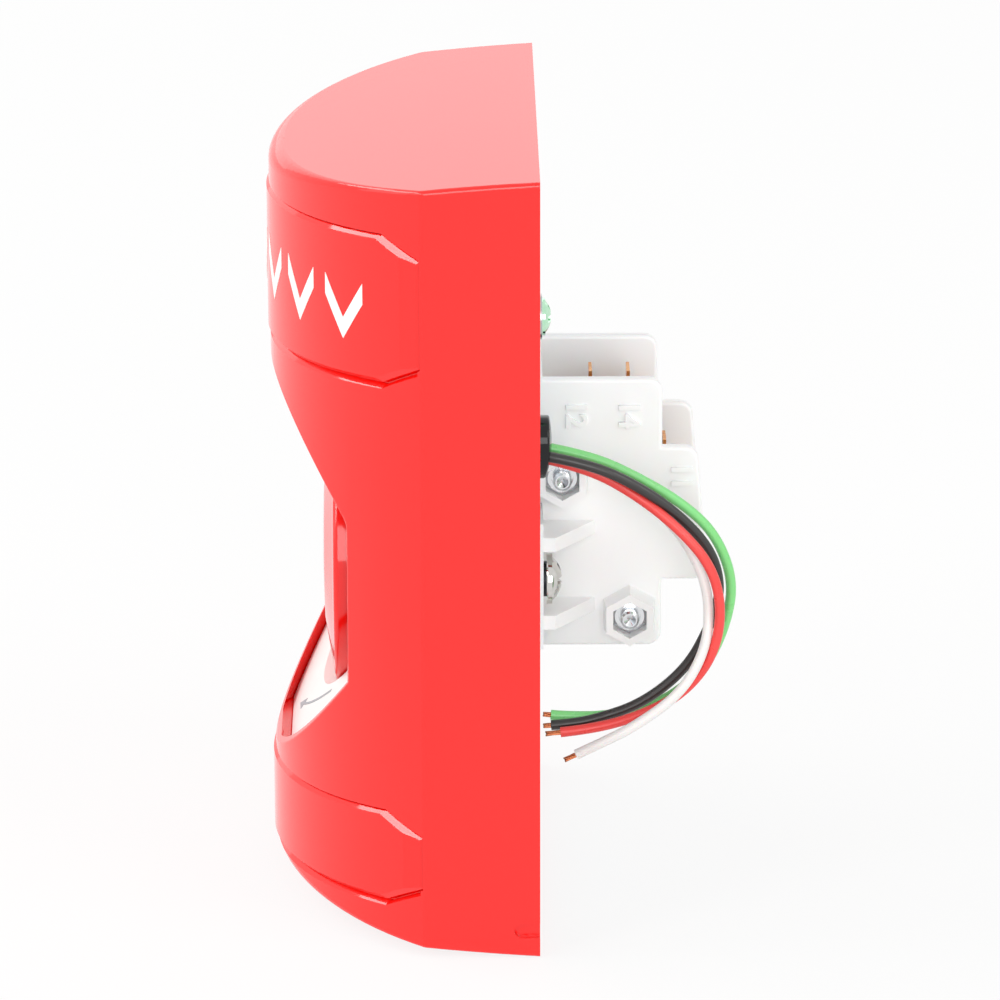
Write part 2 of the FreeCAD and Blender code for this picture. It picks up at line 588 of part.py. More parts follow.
def outer_shell():
    """The housing's outside as a solid block, with its valley and rounded edges."""
    quarter = half_block(0).common(box(-HULL, HULL, -HULL, HULL, 0, HULL))
    crease = [e for e in quarter.Edges
              if abs(e.CenterOfMass.y + CREASE_DEPTH) < 1e-3 and e.CenterOfMass.x > CREASE_X / 2]
    quarter = quarter.makeFillet(CREASE_ROUND, crease)
    ends = [e for e in quarter.Edges if on_front(e) and e.CenterOfMass.z > HEIGHT / 3]
    quarter = quarter.makeFillet(BACK_EDGE_ROUND, FRONT_EDGE_ROUND, ends)
    half = quarter.fuse(quarter.mirror(V(0, 0, 0), V(0, 0, 1))).removeSplitter()
    half = half.cut(valley(0, True))
    rims = [e for e in half.Edges if on_front(e) and abs(e.CenterOfMass.z - BUTTON_Z) < 1.5 * MOUTH]
    half = half.makeFillet(VALLEY_EDGE_ROUND, rims)
    return half.fuse(mirrored(half)).removeSplitter()


def inner_space():
    """The hollow inside the housing, open at the wall."""
    half = half_block(WALL).cut(valley(VALLEY_WALL, False))
    return half.fuse(mirrored(half)).removeSplitter()


def panel_outline(top, top_sag, bottom, low_sag, gap):
    """Outline of a name panel seen from the front, grown by a gap; both long edges sag."""
    half = PANEL_HALF_WIDTH + gap
    corner = half - PANEL_CORNER
    depth = -2 * DEPTH
    top = top + gap
    bottom = bottom - gap
    high = top + top_sag
    low = bottom + low_sag
    left = [V(-corner, depth, low), V(-half, depth, low + PANEL_CORNER_RISE),
            V(-half, depth, high - PANEL_CORNER_RISE), V(-corner, depth, high)]
    right = [V(-p.x, p.y, p.z) for p in reversed(left)]
    edges = [Part.LineSegment(a, b).toShape() for a, b in zip(left, left[1:])]
    edges.append(arc_through(left[-1], V(0, depth, top), right[0]))
    edges += [Part.LineSegment(a, b).toShape() for a, b in zip(right, right[1:])]
    edges.append(arc_through(right[-1], V(0, depth, bottom), left[0]))
    return Part.Face(Part.Wire(edges)).extrude(V(0, 2 * DEPTH, 0))


def front_layer(outer, inner):
    """The layer of the bowed front between two distances from its face, outward positive."""
    whole = Part.makeCylinder(FRONT_RADIUS + outer, 2 * HEIGHT, FRONT_CENTRE - V(0, 0, HEIGHT))
    return whole.cut(Part.makeCylinder(FRONT_RADIUS + inner, 2 * HEIGHT, FRONT_CENTRE - V(0, 0, HEIGHT)))


def bevelled(slab, radius, bevel):
    """A bent slab with a bevel round its face of the given radius."""
    face = max(slab.Faces, key=lambda f: (abs(f.Surface.Radius - radius) < 1e-6
                                          if hasattr(f.Surface, "Radius") else False, f.Area))
    return slab.makeChamfer(bevel, face.OuterWire.Edges)


def panel_end():
    """The wedge that slopes the near end of a name panel."""
    radius = FRONT_RADIUS + PANEL_PROUD
    turn = math.asin(PANEL_HALF_WIDTH / radius) - PANEL_END_BEVEL / radius
    outward = V(math.sin(turn), -math.cos(turn), 0)
    start = FRONT_CENTRE + outward * radius
    drop = radius - PANEL_END_DROP
    end = FRONT_CENTRE + V(PANEL_HALF_WIDTH, -math.sqrt(drop ** 2 - PANEL_HALF_WIDTH ** 2), 0)
    way = (end - start).normalize() * DEPTH
    points = [start, start + way, start + way + outward * DEPTH, start + outward * DEPTH]
    wedge = prism(points, V(0, 0, 2 * HEIGHT))
    wedge.translate(V(0, 0, -HEIGHT))
    return wedge


def name_panel(*edges):
    """A bevelled name panel with sloped ends, bent to the bowed front."""
    panel = panel_outline(*edges, 0).common(front_layer(PANEL_PROUD, -PANEL_SEAT))
    panel = bevelled(panel, FRONT_RADIUS + PANEL_PROUD, PANEL_BEVEL)
    return panel.cut([panel_end(), mirrored(panel_end())])


def panel_pocket(top, top_sag, bottom, low_sag):
    """The room that a name panel takes in the housing, with a bevelled ledge under it."""
    seat = panel_outline(top, top_sag, bottom, low_sag, PANEL_GAP)
    seat = seat.common(front_layer(WALL, -PANEL_SEAT))
    slope = PANEL_LEDGE + PANEL_PROUD
    ledge = panel_outline(top, top_sag, bottom - PANEL_GAP - slope, low_sag, 0)
    ledge = ledge.common(front_layer(slope, -PANEL_LEDGE))
    return seat.fuse(bevelled(ledge, FRONT_RADIUS - PANEL_LEDGE, slope))


def label_slab(inset, low, high):
    """A layer of the lower slope, between two depths under it, inside the label's rim."""
    corner, run, outward = valley_line(-1, 0)
    end = corner + run * ((LABEL_END - DEPTH - corner.y) / run.y)
    end = end - run * inset
    points = [corner + outward * low, end + outward * low, end + outward * high, corner + outward * high]
    layer = prism([V(-HULL / 2, p.y, p.z) for p in points], V(HULL, 0, 0))
    half = half_block(LABEL_RIM + inset)
    return layer.common(half.fuse(mirrored(half)).removeSplitter())


def make_housing():
    """The moulded red housing, with its well, posts and pockets."""
    outside = outer_shell()
    housing = outside.cut(inner_space())
    cup = rod_y(WELL_RADIUS + WALL, -DEPTH, -WELL_BACK, 0, BUTTON_Z)
    posts = [rod_y(POST_RADIUS, -DEPTH, -PLATE, x, z) for x, z in POSTS]
    housing = housing.fuse([s.common(outside) for s in [cup] + posts])
    cuts = [rod_y(WELL_RADIUS, -2 * DEPTH, -WELL_FLOOR, 0, BUTTON_Z),
            rod_y(BUSH_RADIUS, -DEPTH, 0, 0, BUTTON_Z),
            rod_y(LEAD_HOLE, -DEPTH, 0, LEAD_HOLE_X, LEAD_HOLE_Z),
            label_slab(0, 0, LABEL_POCKET)]
    cuts += [rod_y(PLATE_STUD_RADIUS, -PLATE_STUD_LENGTH, 0, x, z) for x, z in POSTS]
    cuts += [panel_pocket(*edges) for edges in PANELS.values()]
    cuts += [pry_slot(sign) for sign in (-1, 1)]
    return housing.cut(cuts).removeSplitter()


def pry_slot(sign):
    """The shallow slot in the side, at the wall edge, where the housing is eased off."""
    x = sign * (HALF_WIDTH - PRY_DEPTH / 2)
    reach = PRY_DEPTH + SIDE_DRAFT
    low, high = x - reach / 2, x + reach / 2
    middle = PRY_WIDTH / 2 - PRY_LENGTH
    z = PRY_RISE - HEIGHT / 2
    slot = box(low, high, middle, WALL, z - PRY_WIDTH / 2, z + PRY_WIDTH / 2)
    return slot.fuse(rod_x(PRY_WIDTH / 2, low, high, middle, z))


def make_reset_label():
    """The white label on the lower slope, with a collar in the well that clears the button."""
    face = LABEL_POCKET - LABEL_THICKNESS
    hole = BUTTON_RADIUS + BODY_GAP
    label = label_slab(LABEL_GAP, face, LABEL_POCKET).cut(rod_y(hole, -2 * DEPTH, 0, 0, BUTTON_Z))
    collar = ring_y(WELL_RADIUS - LABEL_GAP, hole, -2 * DEPTH, -BUTTON_SKIRT_END, 0, BUTTON_Z)
    return label.fuse(collar.common(label_slab(LABEL_GAP, face, DEPTH))).removeSplitter()


def make_plate():
    """The steel plate that closes the back and takes the gang-box screws."""
    plate = box(-PLATE_WIDTH / 2, PLATE_WIDTH / 2, -PLATE, 0, -PLATE_HEIGHT / 2, PLATE_HEIGHT / 2)
    upright = [e for e in plate.Edges if abs(e.Length - PLATE) < 1e-6]
    plate = plate.makeFillet(PLATE_CORNER, upright)
    cuts = [rod_y(BOX_HOLE_RADIUS, -PLATE, 0, 0, sign * BOX_HOLES / 2) for sign in (-1, 1)]
    cuts += [plate_stud(x, z) for x, z in POSTS]
    cuts.append(box(-WINDOW_HALF_WIDTH, WINDOW_HALF_WIDTH, -PLATE, 0, WINDOW_BOTTOM, WINDOW_TOP))
    cuts.append(rod_y(GROUND_SHANK, -PLATE, 0, GROUND_X, GROUND_Z))
    cuts += [rod_y(HOLDER_SCREW_RADIUS, -PLATE, 0, x, BUTTON_Z) for x in (-HOLDER_SCREW_X, HOLDER_SCREW_X)]
    cuts.append(grommet_oval(GROMMET_NECK, -PLATE, 0))
    return plate.cut(cuts)


def plate_stud(x, z):
    """A stud set flush in the plate, which one of the housing's posts is pushed onto."""
    cone = Part.makeCone(PLATE_STUD_RADIUS, PLATE_STUD_HEAD, PLATE, V(x, -PLATE, z), V(0, 1, 0))
    return cone.fuse(rod_y(PLATE_STUD_RADIUS, -PLATE_STUD_LENGTH, -PLATE, x, z))


def cross_recess(radius, top, depth, x, z):
    """A cross-shaped driver recess in a screw head that faces +Y."""
    arm = radius * RECESS_REACH
    thick = radius * RECESS_HALF_WIDTH
    flat = box(x - arm, x + arm, top - depth, top + depth, z - thick, z + thick)
    tall = box(x - thick, x + thick, top - depth, top + depth, z - arm, z + arm)
    return flat.fuse(tall)


def pan_screw(shank, length, head, height, seat, x, z):
    """A domed cross-head screw whose head stands on a seat at some Y and whose shank goes forward."""
    rise = (head ** 2 + height ** 2) / (2 * height)
    ball = Part.makeSphere(rise, V(x, seat + height - rise, z))
    dome = rod_y(head, seat, seat + height, x, z).common(ball)
    rim = rod_y(head * RIM_RADIUS, seat, seat + height * RIM_HEIGHT, x, z)
    screw = dome.fuse(rim).fuse(rod_y(shank, seat - length, seat, x, z)).removeSplitter()
    return screw.cut(cross_recess(head, seat + height, height * RECESS_DEPTH, x, z))


def grommet_oval(shrink, y0, y1):
    """An oval of the grommet's size, smaller by shrink all round."""
    half_wide = GROMMET_WIDTH / 2 - shrink
    straight = GROMMET_HEIGHT / 2 - GROMMET_WIDTH / 2
    block = box(GROMMET_X - half_wide, GROMMET_X + half_wide, y0, y1,
                GROMMET_Z - straight, GROMMET_Z + straight)
    ends = [rod_y(half_wide, y0, y1, GROMMET_X, GROMMET_Z + s * straight) for s in (-1, 1)]
    return block.fuse(ends).removeSplitter()


def make_grommet():
    """The black oval grommet, with a flange on each side of the plate and a seat for each lead."""
    dome = Part.makeSphere(GROMMET_DOME, V(GROMMET_X, GROMMET_FLANGE - GROMMET_DOME,
                                           GROMMET_Z + GROMMET_DOME_RISE))
    rear = grommet_oval(0, 0, GROMMET_FLANGE).common(dome)
    crown = max(rear.Faces, key=lambda f: f.CenterOfMass.y)
    rear = rear.makeFillet(GROMMET_ROUND, crown.OuterWire.Edges)
    neck = grommet_oval(GROMMET_NECK, -PLATE, 0)
    front = grommet_oval(GROMMET_LIP, -PLATE - GROMMET_INNER_FLANGE, -PLATE)
    seats = []
    for points in LEAD_ROUTES.values():
        way = V(*points[1]) - V(*points[0])
        seats.append(Part.makeCylinder(LEAD / 2, way.Length, V(*points[0]), way))
    return rear.fuse([neck, front]).removeSplitter().cut(seats)


def cheek_profile(top):
    """Outline of a holder cheek in Y and Z."""
    start = HOLDER_FLANGE
    return [(start, top), (CHEEK_REAR, top), (CHEEK_REAR, GUARD_TOP), (GUARD_REAR_TOP, GUARD_TOP),
            (GUARD_REAR_BOTTOM, GUARD_BOTTOM), (CHEEK_REAR, GUARD_BOTTOM), (CHEEK_REAR, CHEEK_BOTTOM),
            (start, CHEEK_BOTTOM)]


def make_cheek():
    """The near cheek, with rounded corners and edges."""
    cheek = slab_yz(cheek_profile(CHEEK_TOP), CHEEK_INNER, CHEEK_OUTER)
    corners = [(CHEEK_REAR, CHEEK_TOP), (CHEEK_REAR, CHEEK_BOTTOM), (GUARD_REAR_TOP, GUARD_TOP),
               (GUARD_REAR_BOTTOM, GUARD_BOTTOM)]
    edges = [e for e in cheek.Edges for y, z in corners
             if abs(e.CenterOfMass.y - y) < 1e-6 and abs(e.CenterOfMass.z - z) < 1e-6]
    cheek = cheek.makeFillet(CHEEK_ROUND, edges)
    outline = [e for e in cheek.Edges
               if e.CenterOfMass.y > HOLDER_FLANGE + 1e-6
               and min(abs(e.CenterOfMass.x - x) for x in (CHEEK_INNER, CHEEK_OUTER)) < 1e-6]
    return cheek.makeFillet(CHEEK_EDGE_ROUND, outline)


def make_boss(y, z):
    """A tapered hexagonal boss on the near cheek, round a nut."""
    ends = [(CHEEK_OUTER, BOSS_FLATS), (CHEEK_OUTER + BOSS_HEIGHT, BOSS_FLATS - 2 * BOSS_TAPER)]
    rims = []
    for x, flats in ends:
        points = hexagon_points(flats, x, y, z)
        rims.append(Part.makePolygon(points + [points[0]]))
    return Part.makeLoft(rims, True, True)


def make_holder():
    """The white switch holder: flange, two cheeks, gussets and nut bosses."""
    base = box(-CHEEK_OUTER, CHEEK_OUTER, 0, HOLDER_FLANGE, CHEEK_BOTTOM, CHEEK_TOP)
    wings = box(-WING_HALF_WIDTH, WING_HALF_WIDTH, 0, HOLDER_FLANGE,
                BUTTON_Z - WING_HALF_HEIGHT, BUTTON_Z + WING_HALF_HEIGHT)
    cheek = make_cheek()
    solids = [wings, cheek, mirrored(cheek)]
    for side in (-1, 1):
        for sign in (-1, 1):
            z = BUTTON_Z + sign * GUSSET_SPACING / 2 - GUSSET / 2
            x = side * CHEEK_OUTER
            reach = x + side * GUSSET_REACH
            corner = [V(x, HOLDER_FLANGE, z), V(x, HOLDER_FLANGE + GUSSET_LENGTH, z),
                      V(reach, HOLDER_FLANGE + GUSSET_TIP, z), V(reach, HOLDER_FLANGE, z)]
            solids.append(prism(corner, V(0, 0, GUSSET)))
    solids += [make_boss(y, z) for y, z in BOLTS]
    holder = base.fuse(solids).removeSplitter()
    pocket = CHEEK_OUTER + NUT_SEAT
    cuts = [box(-WINDOW_HALF_WIDTH, WINDOW_HALF_WIDTH, 0, HOLDER_FLANGE, WINDOW_BOTTOM, WINDOW_TOP),
            box(-HULL, HULL, -HULL, 0, -HULL, HULL)]
    cuts += [rod_y(HOLDER_SCREW_RADIUS, 0, HOLDER_FLANGE, x, BUTTON_Z)
             for x in (-HOLDER_SCREW_X, HOLDER_SCREW_X)]
    for y, z in BOLTS:
        cuts.append(rod_x(BOLT_RADIUS, -HULL / 2, HULL / 2, y, z))
        cuts.append(hexagon_x(NUT_FLATS + 2 * NUT_GAP, pocket, pocket + BOSS_HEIGHT, y, z))
    return holder.cut(cuts)


def make_bolt(y, z):
    """A switch bolt: head on the far cheek, hollow tip past the nut."""
    seat = -CHEEK_OUTER - WASHER
    end = CHEEK_OUTER + NUT_SEAT + NUT + BOLT_TIP
    head = rod_x(BOLT_HEAD, seat - BOLT_HEAD_HEIGHT, seat, y, z)
    rim = [e for e in head.Edges if abs(e.CenterOfMass.x - seat + BOLT_HEAD_HEIGHT) < 1e-6]
    head = head.makeFillet(BOLT_HEAD_ROUND, rim)
    shank = rod_x(BOLT_RADIUS, seat, end, y, z)
    tip = [e for e in shank.Edges if abs(e.CenterOfMass.x - end) < 1e-6]
    shank = shank.makeChamfer(BOLT_TIP_BEVEL, tip)
    half = BOLT_HEAD * SLOT_HALF_WIDTH
    slot = box(seat - BOLT_HEAD_HEIGHT, seat - BOLT_HEAD_HEIGHT * SLOT_DEPTH,
               y - BOLT_HEAD, y + BOLT_HEAD, z - half, z + half)
    cup = Part.makeCone(0, BOLT_CUP, BOLT_CUP_DEPTH, V(end - BOLT_CUP_DEPTH, y, z), V(1, 0, 0))
    return head.fuse(shank).removeSplitter().cut([slot, cup])


def make_bolt_washer(y, z):
    """The washer under a bolt's head, on the far cheek."""
    washer = rod_x(BOLT_HEAD + BOLT_WASHER_EDGE, -CHEEK_OUTER - WASHER, -CHEEK_OUTER, y, z)
    return washer.cut(rod_x(BOLT_RADIUS, -HULL / 2, HULL / 2, y, z))


def make_nut(y, z):
    """A hexagon nut in its boss, with bevelled corners and a relief round the bolt."""
    start = CHEEK_OUTER + NUT_SEAT
    nut = hexagon_x(NUT_FLATS, start, start + NUT, y, z)
    face = NUT_FLATS / math.sqrt(3) - NUT_BEVEL
    cone = Part.makeCone(face + 2 * NUT, face, NUT, V(start, y, z), V(1, 0, 0))
    end = start + NUT
    return nut.common(cone).cut([rod_x(BOLT_RADIUS, start, end, y, z),
                                 rod_x(BOLT_RADIUS + NUT_RELIEF, end - NUT_RELIEF_DEPTH, end, y, z)])


def make_case(side):
    """One switch case, open towards its cover; side is +1 for the near switch."""
    x0 = STACK_GAP / 2
    x1 = SWITCH_WIDTH - COVER
    case = box(x0, x1, SWITCH_FRONT, SWITCH_REAR, SWITCH_BOTTOM, SWITCH_TOP)
    pocket = box(x0 + SWITCH_WALL, x1, SWITCH_FRONT + SWITCH_WALL, SWITCH_REAR - SWITCH_WALL,
                 SWITCH_BOTTOM + SWITCH_WALL, SWITCH_TOP - SWITCH_WALL)
    case = case.cut(pocket)
    posts = [rod_x(BOLT_RADIUS + POST_WALL, x0, x1, y, z) for y, z in BOLTS]
    middle = SWITCH_MIDDLE
    ears = []
    for s in (-1, 1):
        low = middle + s * (LEVER_WIDTH / 2 + BODY_GAP) + (0 if s > 0 else -EAR)
        eye = LEVER_PIN_RADIUS + LEVER_EYE
        ears.append(box(low, low + EAR, LEVER_PIN_Y, SWITCH_FRONT, LEVER_PIN_Z - eye, LEVER_PIN_Z + eye))
        ears.append(rod_x(eye, low, low + EAR, LEVER_PIN_Y, LEVER_PIN_Z))
    blade_post = rod_x(BLADE_PIN_RADIUS, x0, x1, BLADE_Y, BLADE_PIVOT_Z)
    case = case.fuse(posts + ears + [blade_post])
    cuts = [rod_x(BOLT_RADIUS, -HULL, HULL, y, z) for y, z in BOLTS]
    cuts.append(rod_x(LEVER_PIN_RADIUS, -HULL, HULL, LEVER_PIN_Y, LEVER_PIN_Z))
    half = PLUNGER_WIDTH / 2 + RUN_GAP
    cuts.append(box(middle - half, middle + half, SWITCH_FRONT - SWITCH_WALL, SWITCH_FRONT + SWITCH_WALL,
                    PLUNGER_Z - PLUNGER_HEIGHT / 2 - RUN_GAP, PLUNGER_Z + PLUNGER_HEIGHT / 2 + RUN_GAP))
    cuts += terminal_blanks()
    case = case.cut(cuts).removeSplitter()
    return case if side > 0 else mirrored(case)


def make_cover(side):
    """The lid of one switch."""
    cover = box(SWITCH_WIDTH - COVER, SWITCH_WIDTH, SWITCH_FRONT, SWITCH_REAR, SWITCH_BOTTOM, SWITCH_TOP)
    cover = cover.cut([rod_x(BOLT_RADIUS, 0, HULL, y, z) for y, z in BOLTS])
    return cover if side > 0 else mirrored(cover)


def terminal_blanks():
    """The bent strips of the three terminals, in the order closed, open and common."""
    left = SWITCH_MIDDLE - TERMINAL_WIDTH / 2
    right = SWITCH_MIDDLE + TERMINAL_WIDTH / 2
    half = TERMINAL / 2
    strips = [box(left, right, y - half, y + half, CONTACT_Z - CONTACT_RADIUS, TERMINAL_TOP)
              for y in (CLOSED_TERMINAL_Y, OPEN_TERMINAL_Y)]
    riser = SWITCH_REAR - SWITCH_WALL / 2
    foot = BLADE_Y + BLADE_PIN_RADIUS + RUN_GAP + BLADE_EYE + BODY_GAP
    common = box(left, right, riser - half, COMMON_TERMINAL_REAR, COMMON_EXIT_Z - half, COMMON_EXIT_Z + half)
    common = common.fuse([
        box(left, right, COMMON_TERMINAL_REAR - TERMINAL, COMMON_TERMINAL_REAR,
            COMMON_EXIT_Z - half, COMMON_TERMINAL_TOP),
        box(left, right, riser - half, riser + half, BLADE_PIVOT_Z - half, COMMON_EXIT_Z + half),
        box(left, right, foot, riser + half, BLADE_PIVOT_Z - half, BLADE_PIVOT_Z + half)])
    return strips + [common.removeSplitter()]


def make_terminal(kind, side):
    """One terminal with its contact, bent from strip; kind is closed, open or common."""
    middle = SWITCH_MIDDLE
    strip = terminal_blanks()[("closed", "open", "common").index(kind)]
    if kind == "common":
        eye = rod_y(TERMINAL_EYE, SWITCH_REAR, HULL, middle, COMMON_TERMINAL_TOP - TERMINAL_EYE_DROP)
        shape = strip.cut(eye)
    else:
        closed_face = BLADE_Y - BLADE / 2 - BODY_GAP
        swing = (CONTACT_Z + CONTACT_RADIUS - BLADE_PIVOT_Z) * math.tan(BLADE_TURN)
        open_face = BLADE_Y + BLADE / 2 / math.cos(BLADE_TURN) + swing + BODY_GAP
        ends = (CLOSED_TERMINAL_Y, closed_face) if kind == "closed" else (open_face, OPEN_TERMINAL_Y)
        stud = rod_y(CONTACT_RADIUS, *ends, middle, CONTACT_Z)
        eye = rod_y(TERMINAL_EYE, -HULL / 2, HULL / 2, middle, TERMINAL_TOP - TERMINAL_EYE_DROP)
        shape = strip.fuse(stud).removeSplitter().cut(eye)
    return shape if side > 0 else mirrored(shape)


def make_blade(side):
    """The moving contact blade on its post."""
    middle = SWITCH_MIDDLE
    eye = BLADE_PIN_RADIUS + RUN_GAP
    half = BLADE_WIDTH / 2
    strip = box(middle - half, middle + half, BLADE_Y - BLADE / 2, BLADE_Y + BLADE / 2,
                BLADE_PIVOT_Z, CONTACT_Z + CONTACT_RADIUS)
    barrel = rod_x(eye + BLADE_EYE, middle - half, middle + half, BLADE_Y, BLADE_PIVOT_Z)
    blade = strip.fuse(barrel).cut(rod_x(eye, 0, HULL, BLADE_Y, BLADE_PIVOT_Z)).removeSplitter()
    return blade if side > 0 else mirrored(blade)


def lever_tilted(shape):
    """Lean a lever forward about its pin by its full turn, to where it rests."""
    shape.rotate(V(0, LEVER_PIN_Y, LEVER_PIN_Z), V(1, 0, 0), -math.degrees(LEVER_TURN))
    return shape


def make_lever(side):
    """The spring-steel lever that the button's yoke presses."""
    middle = SWITCH_MIDDLE
    half = LEVER_WIDTH / 2
    eye = LEVER_PIN_RADIUS + RUN_GAP
    arm = box(middle - half, middle + half, LEVER_PIN_Y - LEVER / 2, LEVER_PIN_Y + LEVER / 2,
              BUTTON_Z - LEVER_TIP, LEVER_PIN_Z)
    barrel = rod_x(LEVER_PIN_RADIUS + LEVER_EYE, middle - half, middle + half, LEVER_PIN_Y, LEVER_PIN_Z)
    lever = arm.fuse(barrel).cut(rod_x(eye, 0, HULL, LEVER_PIN_Y, LEVER_PIN_Z)).removeSplitter()
    lever = lever_tilted(lever)
    return lever if side > 0 else mirrored(lever)


def make_lever_pin(side):
    """The pin of one lever, held in the case's two ears."""
    middle = SWITCH_MIDDLE
    reach = LEVER_WIDTH / 2 + BODY_GAP + EAR
    pin = rod_x(LEVER_PIN_RADIUS, middle - reach, middle + reach, LEVER_PIN_Y, LEVER_PIN_Z)
    return pin if side > 0 else mirrored(pin)


def plunger_tip():
    """Y of a plunger's tip at rest, just behind the leaning lever."""
    lean = (LEVER_PIN_Z - PLUNGER_Z) * math.tan(LEVER_TURN)
    crown = PLUNGER_HEIGHT / 2 * math.tan(LEVER_TURN)
    return LEVER_PIN_Y - lean + LEVER / 2 / math.cos(LEVER_TURN) + crown + BODY_GAP


def make_plunger(side):
    """One switch plunger, from the lever to the blade."""
    middle = SWITCH_MIDDLE
    half = PLUNGER_WIDTH / 2
    rear = BLADE_Y - BLADE / 2 - BODY_GAP
    plunger = box(middle - half, middle + half, plunger_tip(), rear,
                  PLUNGER_Z - PLUNGER_HEIGHT / 2, PLUNGER_Z + PLUNGER_HEIGHT / 2)
    nose = [e for e in plunger.Edges
            if abs(e.CenterOfMass.y - plunger_tip()) < 1e-6 and abs(e.CenterOfMass.x - middle) < 1e-6]
    plunger = plunger.makeFillet(PLUNGER_ROUND, nose)
    return plunger if side > 0 else mirrored(plunger)


def make_cap():
    """The red button: a crowned face, a skirt and a hub on the stem."""
    inner = BUTTON_RADIUS - BUTTON_WALL
    face_radius = BUTTON_RADIUS - BUTTON_FACE_INSET
    under = -BUTTON_UNDERSIDE
    hub_end = -STEM_SHOULDER - BODY_GAP
    flat = BUTTON_FLAT_RADIUS
    crown = Part.Wire([
        arc_through(V(0, -BUTTON_CROWN, BUTTON_Z),
                    V(flat / 2, -BUTTON_CROWN + BUTTON_FLAT_DROP / 4, BUTTON_Z),
                    V(flat, -BUTTON_CROWN + BUTTON_FLAT_DROP, BUTTON_Z)),
        Part.LineSegment(V(flat, -BUTTON_CROWN + BUTTON_FLAT_DROP, BUTTON_Z),
                         V(face_radius, -BUTTON_RIM - BUTTON_EDGE_RISE, BUTTON_Z)).toShape(),
        Part.LineSegment(V(face_radius, -BUTTON_RIM - BUTTON_EDGE_RISE, BUTTON_Z),
                         V(BUTTON_RADIUS, -BUTTON_RIM, BUTTON_Z)).toShape(),
        Part.LineSegment(V(BUTTON_RADIUS, -BUTTON_RIM, BUTTON_Z),
                         V(BUTTON_RADIUS, -BUTTON_SKIRT_END, BUTTON_Z)).toShape(),
        Part.LineSegment(V(BUTTON_RADIUS, -BUTTON_SKIRT_END, BUTTON_Z),
                         V(inner, -BUTTON_SKIRT_END, BUTTON_Z)).toShape(),
        Part.LineSegment(V(inner, -BUTTON_SKIRT_END, BUTTON_Z), V(inner, under, BUTTON_Z)).toShape(),
        Part.LineSegment(V(inner, under, BUTTON_Z), V(HUB_RADIUS, under, BUTTON_Z)).toShape(),
        Part.LineSegment(V(HUB_RADIUS, under, BUTTON_Z), V(HUB_RADIUS, hub_end, BUTTON_Z)).toShape(),
        Part.LineSegment(V(HUB_RADIUS, hub_end, BUTTON_Z), V(0, hub_end, BUTTON_Z)).toShape(),
        Part.LineSegment(V(0, hub_end, BUTTON_Z), V(0, -BUTTON_CROWN, BUTTON_Z)).toShape()])
    cap = Part.Face(crown).revolve(V(0, 0, BUTTON_Z), V(0, 1, 0), 360)
    rounds = [e for e in cap.Edges
              if not e.Degenerated and isinstance(e.Curve, Part.Circle)
              and e.Curve.Radius > flat * 0.9 and e.CenterOfMass.y < -BUTTON_RIM + 0.01]
    cap = cap.makeFillet(BUTTON_ROUND, rounds)
    bore = rod_y(SPIGOT_RADIUS + RUN_GAP, -SPIGOT_FRONT - BODY_GAP, 0, 0, BUTTON_Z)
    pin_hole = rod_x(PIN_RADIUS, 0, HUB_RADIUS, -PIN_POSITION, BUTTON_Z)
    return cap.cut([bore, pin_hole])


def make_cap_pin():
    """The stop pin in the hub, whose tip runs in the spigot's slot."""
    return rod_x(PIN_RADIUS, SPIGOT_RADIUS - PIN_DEPTH, HUB_RADIUS, -PIN_POSITION, BUTTON_Z)


def pin_slot():
    """The slot round part of the spigot that lets the pin turn through its full angle."""
    depth = SPIGOT_RADIUS - PIN_DEPTH - BODY_GAP
    half = PIN_RADIUS + BODY_GAP
    ring = ring_y(SPIGOT_RADIUS + 1, depth, -PIN_POSITION - half, -PIN_POSITION + half, 0, BUTTON_Z)
    slack = math.degrees(math.asin(half / depth))
    start = math.radians(slack)
    end = math.radians(-TURN - slack)
    reach = 4 * SPIGOT_RADIUS
    steps = 6
    fan = [V(0, -DEPTH, BUTTON_Z)]
    for i in range(steps + 1):
        angle = start + (end - start) * i / steps
        fan.append(V(reach * math.cos(angle), -DEPTH, BUTTON_Z + reach * math.sin(angle)))
    return ring.common(prism(fan, V(0, DEPTH, 0)))


def make_stem():
    """The stem: a spigot for the button, a collar, a running length, and two grooves."""
    stem = rod_y(STEM_RADIUS, -STEM_SHOULDER, -STEM_END, 0, BUTTON_Z)
    stem = stem.fuse([rod_y(SPIGOT_RADIUS, -SPIGOT_FRONT, -STEM_SHOULDER, 0, BUTTON_Z),
                      rod_y(COLLAR_RADIUS, -STEM_SHOULDER, -STEM_SHOULDER + COLLAR, 0, BUTTON_Z)])
    stem = stem.removeSplitter()
    latch = -LATCH_POSITION - TRAVEL
    groove = LATCH_WIRE / 2 + LATCH_PLAY
    cuts = [ring_y(2 * STEM_RADIUS, STEM_RADIUS - CLIP_GROOVE, -CLIP_FRONT, CLIP - CLIP_FRONT, 0, BUTTON_Z),
            ring_y(2 * STEM_RADIUS, STEM_RADIUS - LATCH_WIRE / 2, latch - groove, latch + groove,
                   0, BUTTON_Z),
            rod_y(YOKE_SCREW_RADIUS, YOKE_SCREW_SEAT - YOKE_SCREW_LENGTH, 0, 0, BUTTON_Z),
            pin_slot()]
    return stem.cut(cuts)


def make_clip():
    """The open retaining clip in the stem's groove."""
    front = -CLIP_FRONT
    clip = ring_y(CLIP_RADIUS, STEM_RADIUS - CLIP_GROOVE, front, front + CLIP, 0, BUTTON_Z)
    mouth = (STEM_RADIUS - CLIP_GROOVE) * CLIP_MOUTH
    return clip.cut(box(-mouth, mouth, front, front + CLIP, BUTTON_Z - 2 * CLIP_RADIUS, BUTTON_Z))


